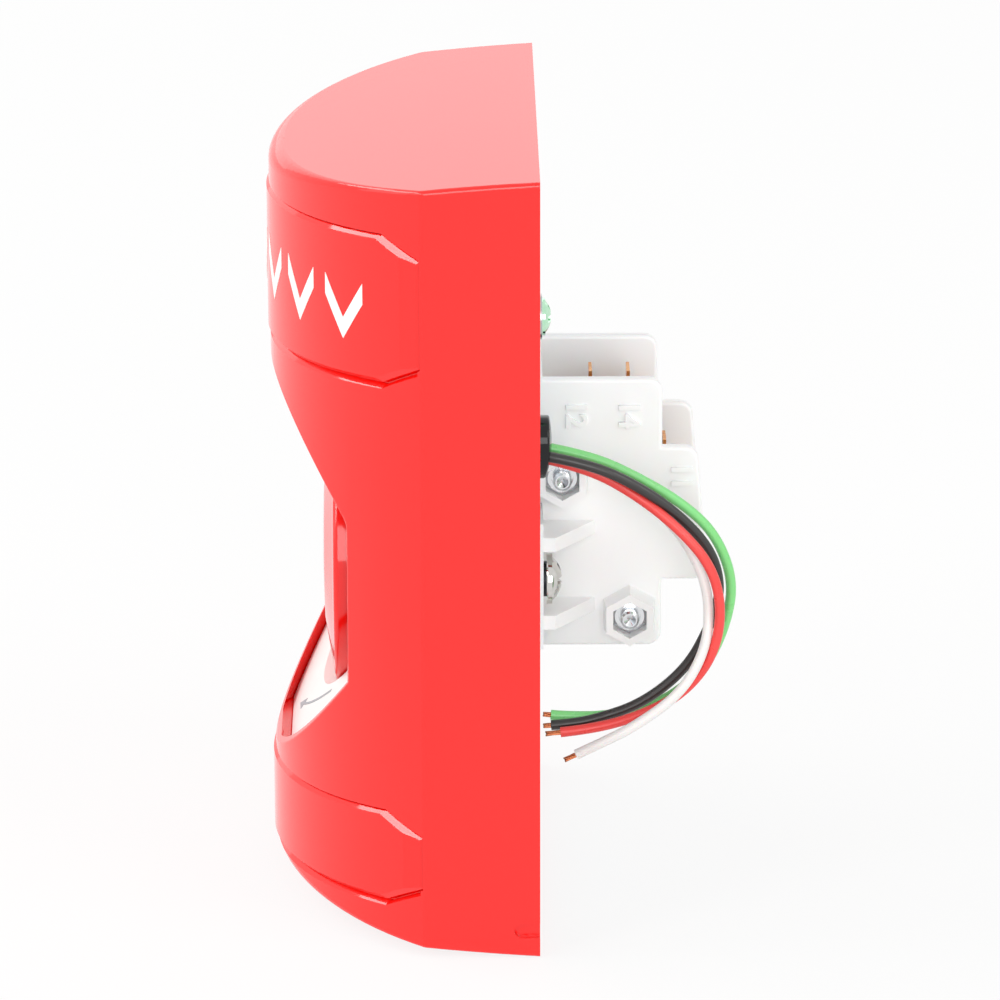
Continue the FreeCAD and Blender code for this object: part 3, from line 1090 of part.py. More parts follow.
def make_yoke():
    """The cross-piece on the stem's end that presses both switch levers."""
    yoke = box(-YOKE_HALF_WIDTH, YOKE_HALF_WIDTH, -STEM_END, -YOKE_REAR,
               BUTTON_Z - YOKE_HEIGHT / 2, BUTTON_Z + YOKE_HEIGHT / 2)
    upright = [e for e in yoke.Edges if abs(e.CenterOfMass.y + (YOKE_REAR + STEM_END) / 2) < 1e-6]
    yoke = yoke.makeFillet(YOKE_ROUND, upright)
    return yoke.cut([rod_y(YOKE_SCREW_RADIUS, -STEM_END, 0, 0, BUTTON_Z),
                     rod_y(YOKE_SCREW_HEAD + RUN_GAP, YOKE_SCREW_SEAT, 0, 0, BUTTON_Z)])


def make_yoke_screw():
    """The screw that holds the yoke on the stem, sunk in it."""
    floor = YOKE_SCREW_SEAT
    top = floor + YOKE_SCREW_DEPTH - RUN_GAP
    screw = rod_y(YOKE_SCREW_HEAD, floor, top, 0, BUTTON_Z)
    screw = screw.fuse(rod_y(YOKE_SCREW_RADIUS, floor - YOKE_SCREW_LENGTH, floor, 0, BUTTON_Z))
    recess = cross_recess(YOKE_SCREW_HEAD, top, YOKE_SCREW_DEPTH * RECESS_DEPTH, 0, BUTTON_Z)
    return screw.removeSplitter().cut(recess)


def make_bush():
    """The guide bush, clamped through the floor of the well."""
    bush = rod_y(BUSH_FLANGE_RADIUS, -BUSH_FRONT, -WELL_FLOOR, 0, BUTTON_Z)
    bush = bush.fuse(rod_y(BUSH_RADIUS, -WELL_FLOOR, -BUSH_END, 0, BUTTON_Z)).removeSplitter()
    slot = LATCH_WIRE / 2 + BODY_GAP
    cuts = [rod_y(STEM_RADIUS + RUN_GAP, -DEPTH, 0, 0, BUTTON_Z),
            rod_y(STEM_RADIUS + SEAL_WIDTH, -BUSH_FRONT, -BUSH_FRONT + SEAL_DEPTH, 0, BUTTON_Z)]
    for s in (-1, 1):
        inner, outer = s * (LATCH_REACH - slot), s * 2 * BUSH_RADIUS
        cuts.append(box(min(inner, outer), max(inner, outer),
                        -LATCH_POSITION - slot, -LATCH_POSITION + LATCH_WIRE / 2,
                        BUTTON_Z - 2 * BUSH_RADIUS, BUTTON_Z + 2 * BUSH_RADIUS))
    return bush.cut(cuts)


def make_latch():
    """The hairpin wire that snaps into the stem's groove when the button is in."""
    reach = LATCH_REACH
    low = BUTTON_Z - BUSH_RADIUS
    high = BUTTON_Z + BUSH_RADIUS + LATCH_WIRE
    y = -LATCH_POSITION
    path = Part.Wire([
        Part.LineSegment(V(-reach, y, low), V(-reach, y, high)).toShape(),
        arc_through(V(-reach, y, high), V(0, y, high + reach), V(reach, y, high)),
        Part.LineSegment(V(reach, y, high), V(reach, y, low)).toShape()])
    section = Part.Wire(Part.makeCircle(LATCH_WIRE / 2, V(-reach, y, low), V(0, 0, 1)))
    return path.makePipeShell([section], True, False)


def make_lamp_board():
    """The ring-shaped lamp board on the floor of the well."""
    front = -WELL_FLOOR - LAMP_RING_THICKNESS
    return ring_y(LAMP_RING_OUTER, LAMP_RING_INNER, front, -WELL_FLOOR, 0, BUTTON_Z)


def make_lamps():
    """The lamps on the ring, each a small domed cylinder."""
    lamps = []
    top = -WELL_FLOOR - LAMP_RING_THICKNESS
    for i in range(LAMP_COUNT):
        angle = 2 * math.pi * i / LAMP_COUNT
        x = LAMP_CIRCLE * math.cos(angle)
        z = BUTTON_Z + LAMP_CIRCLE * math.sin(angle)
        lamp = rod_y(LAMP_RADIUS, top - LAMP_HEIGHT, top, x, z)
        rim = [e for e in lamp.Edges if abs(e.CenterOfMass.y - top + LAMP_HEIGHT) < 1e-6]
        lamps.append(lamp.makeFillet(LAMP_ROUND, rim))
    return lamps


def make_inner_leads():
    """The four leads inside the housing, from the lamp ring to the grommet."""
    start_y = -WELL_FLOOR
    end_y = -PLATE - GROMMET_INNER_FLANGE
    leads = []
    half = INNER_LEAD_SPACING / 2
    for dx, dz in ((-half, -half), (half, -half), (-half, half), (half, half)):
        start = (LEAD_HOLE_X + dx, start_y, LEAD_HOLE_Z + dz)
        leave = (LEAD_HOLE_X + dx, start_y + INNER_LEAD_BEND, LEAD_HOLE_Z + dz)
        enter = (GROMMET_X + dx, end_y - INNER_LEAD_BEND, GROMMET_Z + dz)
        end = (GROMMET_X + dx, end_y, GROMMET_Z + dz)
        leads.append(tube([start, leave, enter, end], LEAD))
    return leads


def make_bare_end(name):
    """The stripped copper at a lead's free end."""
    points = LEAD_ROUTES[name]
    way = (V(*points[-1]) - V(*points[-2])).normalize()
    return Part.makeCylinder(CORE / 2, BARE_LENGTHS[name], V(*points[-1]), way)


def main():
    """Build every piece and write it to its own file."""
    os.makedirs("parts", exist_ok=True)
    save("housing", make_housing())
    for name, edges in PANELS.items():
        save(name, name_panel(*edges))
    save("reset_label", make_reset_label())
    save("mounting_plate", make_plate())
    save("plate_studs", *[plate_stud(x, z) for x, z in POSTS])
    save("ground_screw", pan_screw(GROUND_SHANK, GROUND_LENGTH, GROUND_HEAD, GROUND_HEAD_HEIGHT,
                                   WASHER, GROUND_X, GROUND_Z))
    save("ground_washer", ring_y(GROUND_HEAD + GROUND_WASHER_EDGE, GROUND_SHANK, 0, WASHER,
                                 GROUND_X, GROUND_Z))
    save("lead_grommet", make_grommet())
    save("switch_holder", make_holder())
    holder_x = (-HOLDER_SCREW_X, HOLDER_SCREW_X)
    seat = HOLDER_FLANGE + WASHER
    save("holder_washers", *[ring_y(HOLDER_SCREW_RADIUS + HOLDER_WASHER_WALL, HOLDER_SCREW_RADIUS,
                                    HOLDER_FLANGE, seat, x, BUTTON_Z) for x in holder_x])
    save("holder_screws", *[pan_screw(HOLDER_SCREW_RADIUS, HOLDER_SCREW_LENGTH, HOLDER_SCREW_HEAD,
                                      HOLDER_SCREW_HEAD_HEIGHT, seat, x, BUTTON_Z) for x in holder_x])
    save("switch_bolts", *[make_bolt(y, z) for y, z in BOLTS])
    save("switch_washers", *[make_bolt_washer(y, z) for y, z in BOLTS])
    save("switch_nuts", *[make_nut(y, z) for y, z in BOLTS])
    for name, side in (("near", 1), ("far", -1)):
        save(name + "_switch_case", make_case(side))
        save(name + "_switch_cover", make_cover(side))
        for kind in ("closed", "open", "common"):
            save("%s_%s_terminal" % (name, kind), make_terminal(kind, side))
        save(name + "_contact_blade", make_blade(side))
        save(name + "_switch_plunger", make_plunger(side))
        save(name + "_switch_lever", make_lever(side))
        save(name + "_lever_pin", make_lever_pin(side))
    save("button_cap", make_cap())
    save("cap_stop_pin", make_cap_pin())
    save("button_stem", make_stem())
    save("stem_clip", make_clip())
    save("switch_yoke", make_yoke())
    save("yoke_screw", make_yoke_screw())
    save("guide_bush", make_bush())
    save("bush_nut", ring_y(BUSH_FLANGE_RADIUS, BUSH_RADIUS, -WELL_BACK, -WELL_BACK + RING_NUT, 0, BUTTON_Z))
    save("stem_seal", ring_y(STEM_RADIUS + SEAL_WIDTH, STEM_RADIUS + RUN_GAP, -BUSH_FRONT,
                             -BUSH_FRONT + SEAL_DEPTH, 0, BUTTON_Z))
    save("latch_wire", make_latch())
    save("return_spring", coil_y(SPRING_RADIUS, SPRING_WIRE, SPRING_TURNS,
                                 -BUTTON_UNDERSIDE + BODY_GAP, -BUSH_FRONT, BUTTON_Z))
    save("turn_spring", coil_y(TURN_SPRING_RADIUS, TURN_SPRING_WIRE, TURN_SPRING_TURNS,
                               -BUTTON_UNDERSIDE + BODY_GAP, -STEM_SHOULDER, BUTTON_Z))
    save("lamp_board", make_lamp_board())
    save("lamps", *make_lamps())
    save("inner_leads", *make_inner_leads())
    for name, points in LEAD_ROUTES.items():
        save(name, tube(points, LEAD))
    save("bare_lead_ends", *[make_bare_end(name) for name in LEAD_ROUTES])


main()
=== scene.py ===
"""Looks of a wall-mounted emergency push-button station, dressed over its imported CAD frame.

The frame gives every rigid piece its shape and place. This script gives each one the finish of its
real material, lays the four leads as smooth curves, and adds the marks and strands that are too fine
for the CAD: the panel's chevrons, the reset arrow, the terminal numbers and the bared copper.
"""

from __future__ import annotations

import json
import logging
import math
from dataclasses import dataclass, field
from enum import Enum
from typing import Any

import bmesh
import bpy
from mathutils import Matrix, Vector

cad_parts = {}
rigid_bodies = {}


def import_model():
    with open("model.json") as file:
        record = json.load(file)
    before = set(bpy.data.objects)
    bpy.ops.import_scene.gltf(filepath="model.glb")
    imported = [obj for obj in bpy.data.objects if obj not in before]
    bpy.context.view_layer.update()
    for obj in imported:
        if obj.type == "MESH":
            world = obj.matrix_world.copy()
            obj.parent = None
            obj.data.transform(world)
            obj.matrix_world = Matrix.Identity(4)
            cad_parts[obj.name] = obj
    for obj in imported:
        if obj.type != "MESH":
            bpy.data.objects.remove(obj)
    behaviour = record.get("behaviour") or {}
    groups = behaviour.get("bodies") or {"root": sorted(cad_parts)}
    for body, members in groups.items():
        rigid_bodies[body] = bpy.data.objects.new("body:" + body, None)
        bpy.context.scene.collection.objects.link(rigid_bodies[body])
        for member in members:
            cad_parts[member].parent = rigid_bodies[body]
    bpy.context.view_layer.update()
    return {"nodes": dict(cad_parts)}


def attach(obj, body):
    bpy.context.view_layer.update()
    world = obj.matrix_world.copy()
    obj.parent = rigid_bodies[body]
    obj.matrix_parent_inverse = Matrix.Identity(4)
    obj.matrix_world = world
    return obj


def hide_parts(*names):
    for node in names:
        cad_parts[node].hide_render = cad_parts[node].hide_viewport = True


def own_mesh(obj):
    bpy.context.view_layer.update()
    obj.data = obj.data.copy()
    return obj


LOG = logging.getLogger("push_button_station")
MM = 0.001
IMAGE_PX = 1000

# Noise that every finish shares: how fine it is, and how the gloss follows it
DRIFT_DETAIL = 3.0
GRAIN_DETAIL = 2.0
SMEAR_DETAIL = 4.0
SMEAR_TO_DRIFT = 0.4
SMEAR_DISTORTION = 0.6
SMEAR_SPAN = (0.3, 0.7)

# How far the normal of the label's upper face leans both forwards and upwards, at the least
LEAST_LEAN = 0.3


class Body(Enum):
    """The CAD bodies that this script's own pieces ride on."""

    STATION = "station"


class Facing(Enum):
    """Which rays of the scene see the plain studio white."""

    CAMERA = "Is Camera Ray"
    GLOSSY = "Is Glossy Ray"
    TRANSMISSION = "Is Transmission Ray"


def linear(colour: str) -> tuple[float, float, float, float]:
    """Turn an sRGB hex colour into linear light.

    Args:
        colour: six hex digits after a hash sign.

    Returns:
        Red, green, blue and an alpha of 1.
    """
    parts = [int(colour[i : i + 2], 16) / 255 for i in (1, 3, 5)]
    made = [c / 12.92 if c <= 0.04045 else ((c + 0.055) / 1.055) ** 2.4 for c in parts]
    return made[0], made[1], made[2], 1.0


def add_node(
    tree: bpy.types.NodeTree,
    kind: str,
    settings: dict[str | int, Any] | None = None,
    links: dict[str | int, bpy.types.NodeSocket] | None = None,
) -> bpy.types.Node:
    """Add a node with its settings and links.

    Args:
        tree: the node tree it goes in.
        kind: Blender's name for the node.
        settings: values for its sockets, by name or number, and for its own properties.
        links: sockets of other nodes that feed its sockets.

    Returns:
        The new node.
    """
    node = tree.nodes.new(kind)
    for key, value in (settings or {}).items():
        if isinstance(key, int) or key in node.inputs:
            node.inputs[key].default_value = value
        else:
            setattr(node, key, value)
    for key, socket in (links or {}).items():
        tree.links.new(socket, node.inputs[key])
    return node


def per_mm(size_mm: float) -> float:
    """Find the scale of a texture from the size of its features.

    Args:
        size_mm: how far apart the features are.

    Returns:
        The texture's scale.
    """
    return 1.0 / (size_mm * MM)


def link(name: str, data: bpy.types.ID) -> bpy.types.Object:
    """Put new data in the scene as an object.

    Args:
        name: the object's name.
        data: its mesh, curve, light or camera.

    Returns:
        The object.
    """
    made = bpy.data.objects.new(name, data)
    bpy.context.scene.collection.objects.link(made)
    return made


@dataclass(frozen=True)
class Finish:
    """One real material: its colour, and the drift and grain that its making leaves.

    The colour drifts between two close tones over drift_mm, the gloss varies over a shorter distance,
    and a fine relief of grain_mm catches the light.
    """

    name: str
    colour: str
    tone: str
    drift_mm: float
    gloss: tuple[float, float]
    grain_mm: float
    grain_depth_mm: float
    ior: float = 1.5
    stretch: tuple[float, float, float] = (1.0, 1.0, 1.0)

    def make(self) -> bpy.types.Material:
        """Build the Blender material.

        Returns:
            The material, named for this finish.
        """
        material = bpy.data.materials.new(self.name)
        material.use_nodes = True
        tree = material.node_tree
        tree.nodes.clear()
        where = add_node(tree, "ShaderNodeTexCoord").outputs["Object"]
        place = add_node(
            tree, "ShaderNodeMapping", {"Scale": self.stretch}, {"Vector": where}
        ).outputs[0]
        drift = add_node(
            tree,
            "ShaderNodeTexNoise",
            {"Scale": per_mm(self.drift_mm), "Detail": DRIFT_DETAIL},
            {"Vector": place},
        )
        tint = add_node(
            tree,
            "ShaderNodeMix",
            {"data_type": "RGBA", 6: linear(self.colour), 7: linear(self.tone)},
            {0: drift.outputs[0]},
        )
        smear = add_node(
            tree,
            "ShaderNodeTexNoise",
            {
                "Scale": per_mm(self.drift_mm * SMEAR_TO_DRIFT),
                "Detail": SMEAR_DETAIL,
                "Distortion": SMEAR_DISTORTION,
            },
            {"Vector": place},
        )
        dull = add_node(
            tree,
            "ShaderNodeMapRange",
            {
                "From Min": SMEAR_SPAN[0],
                "From Max": SMEAR_SPAN[1],
                "To Min": self.gloss[0],
                "To Max": self.gloss[1],
            },
            {"Value": smear.outputs[0]},
        )
        grain = add_node(
            tree,
            "ShaderNodeTexNoise",
            {"Scale": per_mm(self.grain_mm), "Detail": GRAIN_DETAIL},
            {"Vector": place},
        )
        relief = add_node(
            tree,
            "ShaderNodeBump",
            {"Strength": 1.0, "Distance": self.grain_depth_mm * MM},
            {"Height": grain.outputs[0]},
        )
        shader = add_node(
            tree,
            "ShaderNodeBsdfPrincipled",
            {"IOR": self.ior},
            {
                "Base Color": tint.outputs[2],
                "Roughness": dull.outputs[0],
                "Normal": relief.outputs[0],
            },
        )
        self.finish_off(tree, shader, place, tint.outputs[2])
        add_node(tree, "ShaderNodeOutputMaterial", links={"Surface": shader.outputs[0]})
        return material

    def finish_off(
        self,
        tree: bpy.types.NodeTree,
        shader: bpy.types.Node,
        place: bpy.types.NodeSocket,
        tint: bpy.types.NodeSocket,
    ) -> None:
        """Add what only this kind of material has.

        Args:
            tree: the material's nodes.
            shader: its principled shader.
            place: where a point of the surface is.
            tint: the drifting colour.
        """


@dataclass(frozen=True)
class MouldedResin(Finish):
    """An injection-moulded plastic, with a little light passing under its skin."""

    depth_mm: float = 0.4
    glow: float = 0.0

    def finish_off(
        self,
        tree: bpy.types.NodeTree,
        shader: bpy.types.Node,
        place: bpy.types.NodeSocket,
        tint: bpy.types.NodeSocket,
    ) -> None:
        """Let light in under the skin.

        Args:
            tree: the material's nodes.
            shader: its principled shader.
            place: where a point of the surface is.
            tint: the drifting colour.
        """
        shader.inputs["Subsurface Weight"].default_value = self.glow
        shader.inputs["Subsurface Scale"].default_value = self.depth_mm * MM


@dataclass(frozen=True)
class Metal(Finish):
    """A bare or plated metal, with the stains or crystals of its plating."""

    stain: str = "#808080"
    stain_mm: float = 3.0
    stain_share: float = 0.2

    def finish_off(
        self,
        tree: bpy.types.NodeTree,
        shader: bpy.types.Node,
        place: bpy.types.NodeSocket,
        tint: bpy.types.NodeSocket,
    ) -> None:
        """Make it metal, and lay the plating's crystals over its colour.

        Args:
            tree: the material's nodes.
            shader: its principled shader.
            place: where a point of the surface is.
            tint: the drifting colour.
        """
        shader.inputs["Metallic"].default_value = 1.0
        cells = add_node(
            tree, "ShaderNodeTexVoronoi", {"Scale": per_mm(self.stain_mm)}, {"Vector": place}
        )
        spread = add_node(
            tree,
            "ShaderNodeMapRange",
            {"From Min": 0.0, "From Max": 1.0, "To Min": 0.0, "To Max": self.stain_share},
            {"Value": cells.outputs["Distance"]},
        )
        add_stain = add_node(
            tree,
            "ShaderNodeMix",
            {"data_type": "RGBA", 7: linear(self.stain)},
            {0: spread.outputs[0], 6: tint},
        )
        tree.links.new(add_stain.outputs[2], shader.inputs["Base Color"])


@dataclass(frozen=True)
class ClearResin(Finish):
    """A cast clear resin that passes light."""

    clarity: float = 0.9

    def finish_off(
        self,
        tree: bpy.types.NodeTree,
        shader: bpy.types.Node,
        place: bpy.types.NodeSocket,
        tint: bpy.types.NodeSocket,
    ) -> None:
        """Let the light through.

        Args:
            tree: the material's nodes.
            shader: its principled shader.
            place: where a point of the surface is.
            tint: the drifting colour.
        """
        shader.inputs["Transmission Weight"].default_value = self.clarity


@dataclass(frozen=True)
class WovenBoard(Finish):
    """Glass-fibre board under solder mask, whose weave shows through faintly."""

    weave_mm: float = 0.6
    thread: str = "#2E7A4C"

    def finish_off(
        self,
        tree: bpy.types.NodeTree,
        shader: bpy.types.Node,
        place: bpy.types.NodeSocket,
        tint: bpy.types.NodeSocket,
    ) -> None:
        """Show the weave as faint light and dark threads.

        Args:
            tree: the material's nodes.
            shader: its principled shader.
            place: where a point of the surface is.
            tint: the drifting colour.
        """
        threads = [
            add_node(
                tree,
                "ShaderNodeTexWave",
                {"bands_direction": way, "Scale": per_mm(self.weave_mm) / math.tau},
                {"Vector": place},
            ).outputs[1]
            for way in ("X", "Z")
        ]
        both = add_node(
            tree,
            "ShaderNodeMath",
            {"operation": "MULTIPLY"},
            {0: threads[0], 1: threads[1]},
        )
        lift = add_node(
            tree,
            "ShaderNodeMix",
            {"data_type": "RGBA", 7: linear(self.thread)},
            {0: both.outputs[0], 6: tint},
        )
        tree.links.new(lift.outputs[2], shader.inputs["Base Color"])


# Polycarbonate, injection moulded in a polished tool: an even, deep red with clear reflections that
# waver very slightly where the resin shrank.
RED_HOUSING = MouldedResin(
    "polished_red_polycarbonate", "#F2140D", "#EE120C", 24.0, (0.05, 0.08), 3.2, 0.0010,
    ior=1.585, glow=0.06, depth_mm=0.8,
)
# The same resin in the button, moulded thicker and handled more: a touch softer in its reflections.
RED_BUTTON = MouldedResin(
    "handled_red_polycarbonate", "#EE150F", "#E6120C", 14.0, (0.07, 0.12), 2.6, 0.0012,
    ior=1.585, glow=0.08, depth_mm=0.8,
)
# Polyester film, printed white and satin: bright, with a dull even sheen.
WHITE_FILM = MouldedResin(
    "satin_white_polyester_film", "#F3F3F0", "#EDEDEA", 9.0, (0.38, 0.46), 0.5, 0.002, ior=1.57,
)
# Screen-printing ink on the film and panel: thick enough to stand proud, with a faint ragged sheen.
WHITE_INK = MouldedResin(
    "screen_printed_white_ink", "#F6F5F2", "#EFEEEA", 5.0, (0.42, 0.55), 0.35, 0.004, ior=1.5,
)
GREY_INK = MouldedResin(
    "screen_printed_grey_ink", "#ABAEB2", "#A0A3A8", 4.0, (0.45, 0.6), 0.35, 0.004, ior=1.5,
)
# Filled polyester (PBT), moulded in a fine spark-eroded tool: opaque bright white, softly glossy.
WHITE_MOULDING = MouldedResin(
    "moulded_white_pbt", "#FAFAF9", "#F6F7F7", 18.0, (0.30, 0.36), 0.9, 0.0020, ior=1.55,
    glow=0.1, depth_mm=0.6,
)
# Phenolic moulding: near-black, hard and a little waxy.
BLACK_MOULDING = MouldedResin(
    "moulded_black_phenolic", "#1B1B1D", "#242427", 8.0, (0.30, 0.42), 0.6, 0.003, ior=1.6,
)
# Acetal, in the switches' red plungers and in natural white slides: slippery, with a waxy depth.
RED_MOULDING = MouldedResin(
    "moulded_red_acetal", "#C9201B", "#B81B17", 4.0, (0.28, 0.38), 0.5, 0.002, ior=1.48, glow=0.1,
)
NATURAL_MOULDING = MouldedResin(
    "natural_acetal", "#E9E6DB", "#E2DED1", 10.0, (0.28, 0.4), 0.8, 0.002, ior=1.48, glow=0.2,
    depth_mm=1.0,
)
# Vulcanised rubber, pressed in a polished mould: black with a clear highlight.
BLACK_RUBBER = MouldedResin(
    "moulded_black_rubber", "#08070A", "#0C0B0E", 6.0, (0.06, 0.12), 0.5, 0.002, ior=1.42,
)
# Soft PVC insulation, extruded over the wire: waxy, with a long soft highlight and faint drag lines.
GREEN_SLEEVE = MouldedResin(
    "extruded_green_pvc", "#8BE08A", "#80D981", 7.0, (0.24, 0.34), 0.7, 0.004, ior=1.53, glow=0.1,
)
BLACK_SLEEVE = MouldedResin(
    "extruded_black_pvc", "#2B2928", "#333130", 7.0, (0.28, 0.40), 0.7, 0.004, ior=1.53,
)
RED_SLEEVE = MouldedResin(
    "extruded_red_pvc", "#F24A46", "#E8423E", 7.0, (0.26, 0.38), 0.7, 0.004, ior=1.53, glow=0.1,
)
WHITE_SLEEVE = MouldedResin(
    "extruded_white_pvc", "#EDECEA", "#E3E2DF", 7.0, (0.26, 0.38), 0.7, 0.004, ior=1.53, glow=0.1,
)
GREY_SLEEVE = MouldedResin(
    "extruded_grey_pvc", "#9A9CA0", "#8E9094", 7.0, (0.3, 0.42), 0.7, 0.004, ior=1.53,
)
# Sheet steel, zinc plated and clear passivated: pale, bluish and soft, with a fine crystal bloom.
ZINC_SHEET = Metal(
    "clear_passivated_zinc_sheet", "#CDD1D5", "#C0C5CB", 12.0, (0.34, 0.48), 0.5, 0.002,
    stain="#A9B1BB", stain_mm=1.6, stain_share=0.35,
)
# Turned steel, bright zinc plated and clear passivated: silvery, with a faint bloom.
ZINC_STEEL = Metal(
    "clear_passivated_zinc", "#E6E7E8", "#DADCDE", 12.0, (0.12, 0.20), 0.5, 0.0015,
    stain="#C3C8CE", stain_mm=1.6, stain_share=0.25,
)
# Nickel-plated screws, barrel polished: bright, mirror-like, faintly warm.
BRIGHT_STEEL = Metal(
    "barrel_polished_nickel", "#D8D6D2", "#CCCAC6", 3.0, (0.08, 0.16), 0.4, 0.0012,
    stain="#A9A7A3", stain_mm=1.0, stain_share=0.25,
)
# Black-oxide steel: dark, oily and even.
DARK_STEEL = Metal(
    "black_oxide_steel", "#3A3B3E", "#303134", 3.0, (0.28, 0.42), 0.4, 0.002,
    stain="#55585C", stain_mm=0.9, stain_share=0.3,
)
# Spring steel, drawn bright: grey, with die lines.
SPRING_STEEL = Metal(
    "drawn_spring_steel", "#A4A7AB", "#95989D", 4.0, (0.20, 0.32), 0.3, 0.002,
    stain="#7C7F85", stain_mm=0.8, stain_share=0.3,
)
# A ground screw is zinc plated and dyed green: a clear green over bright metal.
GREEN_DYE = Metal(
    "green_dyed_zinc", "#D2F2DB", "#BFEACB", 2.0, (0.08, 0.14), 0.4, 0.0015,
    stain="#86D39D", stain_mm=1.2, stain_share=0.35,
)
# Tinned steel washer: softer and whiter than nickel.
PLATED_STEEL = Metal(
    "tin_plated_steel", "#CFCFCE", "#C2C2C2", 3.0, (0.22, 0.34), 0.4, 0.002,
    stain="#A5A5A6", stain_mm=1.2, stain_share=0.3,
)
# Copper alloy strip, rolled and stamped: orange, with warmer and darker patches of tarnish.
COPPER_STRIP = Metal(
    "rolled_copper_strip", "#F2B578", "#E6A05F", 3.0, (0.20, 0.32), 0.3, 0.002,
    stain="#BC7A45", stain_mm=1.5, stain_share=0.35, stretch=(1.0, 1.0, 0.25),
)
# Drawn copper strand, freshly stripped: pink-orange and bright.
BARE_COPPER = Metal(
    "drawn_copper_strand", "#D58A63", "#C0744D", 0.8, (0.18, 0.30), 0.1, 0.001,
    stain="#9A5A3A", stain_mm=0.5, stain_share=0.3,
)
# Glass-fibre board under green solder mask.
GREEN_BOARD = WovenBoard(
    "solder_masked_glass_board", "#1D5B38", "#174B2E", 6.0, (0.22, 0.34), 0.5, 0.004, ior=1.54,
)
# Clear epoxy, cast round each lamp.
CLEAR_LAMP = ClearResin(
    "cast_clear_epoxy", "#F4F6F7", "#EDEFF1", 2.0, (0.05, 0.1), 0.5, 0.001, ior=1.53,
)

SLOT_FINISHES: dict[str, Finish] = {
    "red_housing": RED_HOUSING,
    "red_button": RED_BUTTON,
    "white_label": WHITE_FILM,
    "white_moulding": WHITE_MOULDING,
    "zinc_steel": ZINC_STEEL,
    "bright_steel": BRIGHT_STEEL,
    "dark_steel": DARK_STEEL,
    "spring_steel": SPRING_STEEL,
    "green_paint": GREEN_DYE,
    "plated_steel": PLATED_STEEL,
    "black_rubber": BLACK_RUBBER,
    "black_moulding": BLACK_MOULDING,
    "red_moulding": RED_MOULDING,
    "natural_moulding": NATURAL_MOULDING,
    "copper_strip": COPPER_STRIP,
    "green_board": GREEN_BOARD,
    "clear_lamp": CLEAR_LAMP,
    "inner_lead_sleeve": GREY_SLEEVE,
    "green_sleeve": GREEN_SLEEVE,
    "black_sleeve": BLACK_SLEEVE,
    "red_sleeve": RED_SLEEVE,
    "white_sleeve": WHITE_SLEEVE,
    "bare_copper": BARE_COPPER,
}
NODE_FINISHES: dict[str, Finish] = {"mounting_plate": ZINC_SHEET}


@dataclass
class Paintshop:
    """Makes each finish once and puts it on pieces."""

    made: dict[str, bpy.types.Material] = field(default_factory=dict)

    def material(self, finish: Finish) -> bpy.types.Material:
        """Give the Blender material of a finish.

        Args:
            finish: the finish wanted.

        Returns:
            Its material, made at the first call.
        """
        if finish.name not in self.made:
            self.made[finish.name] = finish.make()
        return self.made[finish.name]

    def paint(self, piece: bpy.types.Object, finish: Finish) -> None:
        """Put one finish on a new piece.

        Args:
            piece: the new piece.
            finish: the finish it gets.
        """
        piece.data.materials.clear()
        piece.data.materials.append(self.material(finish))

    def paint_frame(self, nodes: dict[str, bpy.types.Object]) -> None:
        """Put each CAD node's finish in its material slot.

        Args:
            nodes: the frame's nodes by name.
        """
        for name, node in sorted(nodes.items()):
            for number, old in enumerate(node.data.materials):
                finish = NODE_FINISHES.get(name, SLOT_FINISHES[old.name])
                node.data.materials[number] = self.material(finish)
                LOG.info("%s: %s", name, finish.name)


@dataclass(frozen=True)
class BowedFace:
    """The front of a name panel: part of an upright cylinder."""

    radius_mm: float
    axis_y_mm: float

    def point(self, along_mm: float, height_mm: float, proud_mm: float) -> Vector:
        """Place a point on the face.

        Args:
            along_mm: distance round the face from its middle, towards +X.
            height_mm: height in the frame.
            proud_mm: distance out of the face.

        Returns:
            The point in the frame, in metres.
        """
        angle = along_mm / self.radius_mm
        reach = self.radius_mm + proud_mm
        return Vector(
            (reach * math.sin(angle), self.axis_y_mm - reach * math.cos(angle), height_mm)
        ) * MM


@dataclass(frozen=True)
class SlopedFace:
    """The flat upper face of the reset label, by a point on it and its normal."""

    spot: Vector
    normal: Vector

    @classmethod
    def of_node(cls, node: bpy.types.Object) -> SlopedFace:
        """Read the largest face that looks out and up from a CAD node.

        Args:
            node: the label's object.

        Returns:
            The face.
        """
        outward = [
            p for p in node.data.polygons if p.normal.y < -LEAST_LEAN and p.normal.z > LEAST_LEAN
        ]
        largest = max(outward, key=lambda p: p.area)
        return cls(largest.center.copy(), largest.normal.copy())

    def point(self, x_mm: float, z_mm: float, proud_mm: float) -> Vector:
        """Place a point on the face, seen from the front.

        Args:
            x_mm: its X in the frame.
            z_mm: its Z in the frame.
            proud_mm: distance out of the face.

        Returns:
            The point in the frame, in metres.
        """
        x, z = x_mm * MM, z_mm * MM
        n, s = self.normal, self.spot
        y = s.y - ((x - s.x) * n.x + (z - s.z) * n.z) / n.y
        return Vector((x, y, z)) + n * proud_mm * MM


Pair = tuple[tuple[float, float], tuple[float, float]]


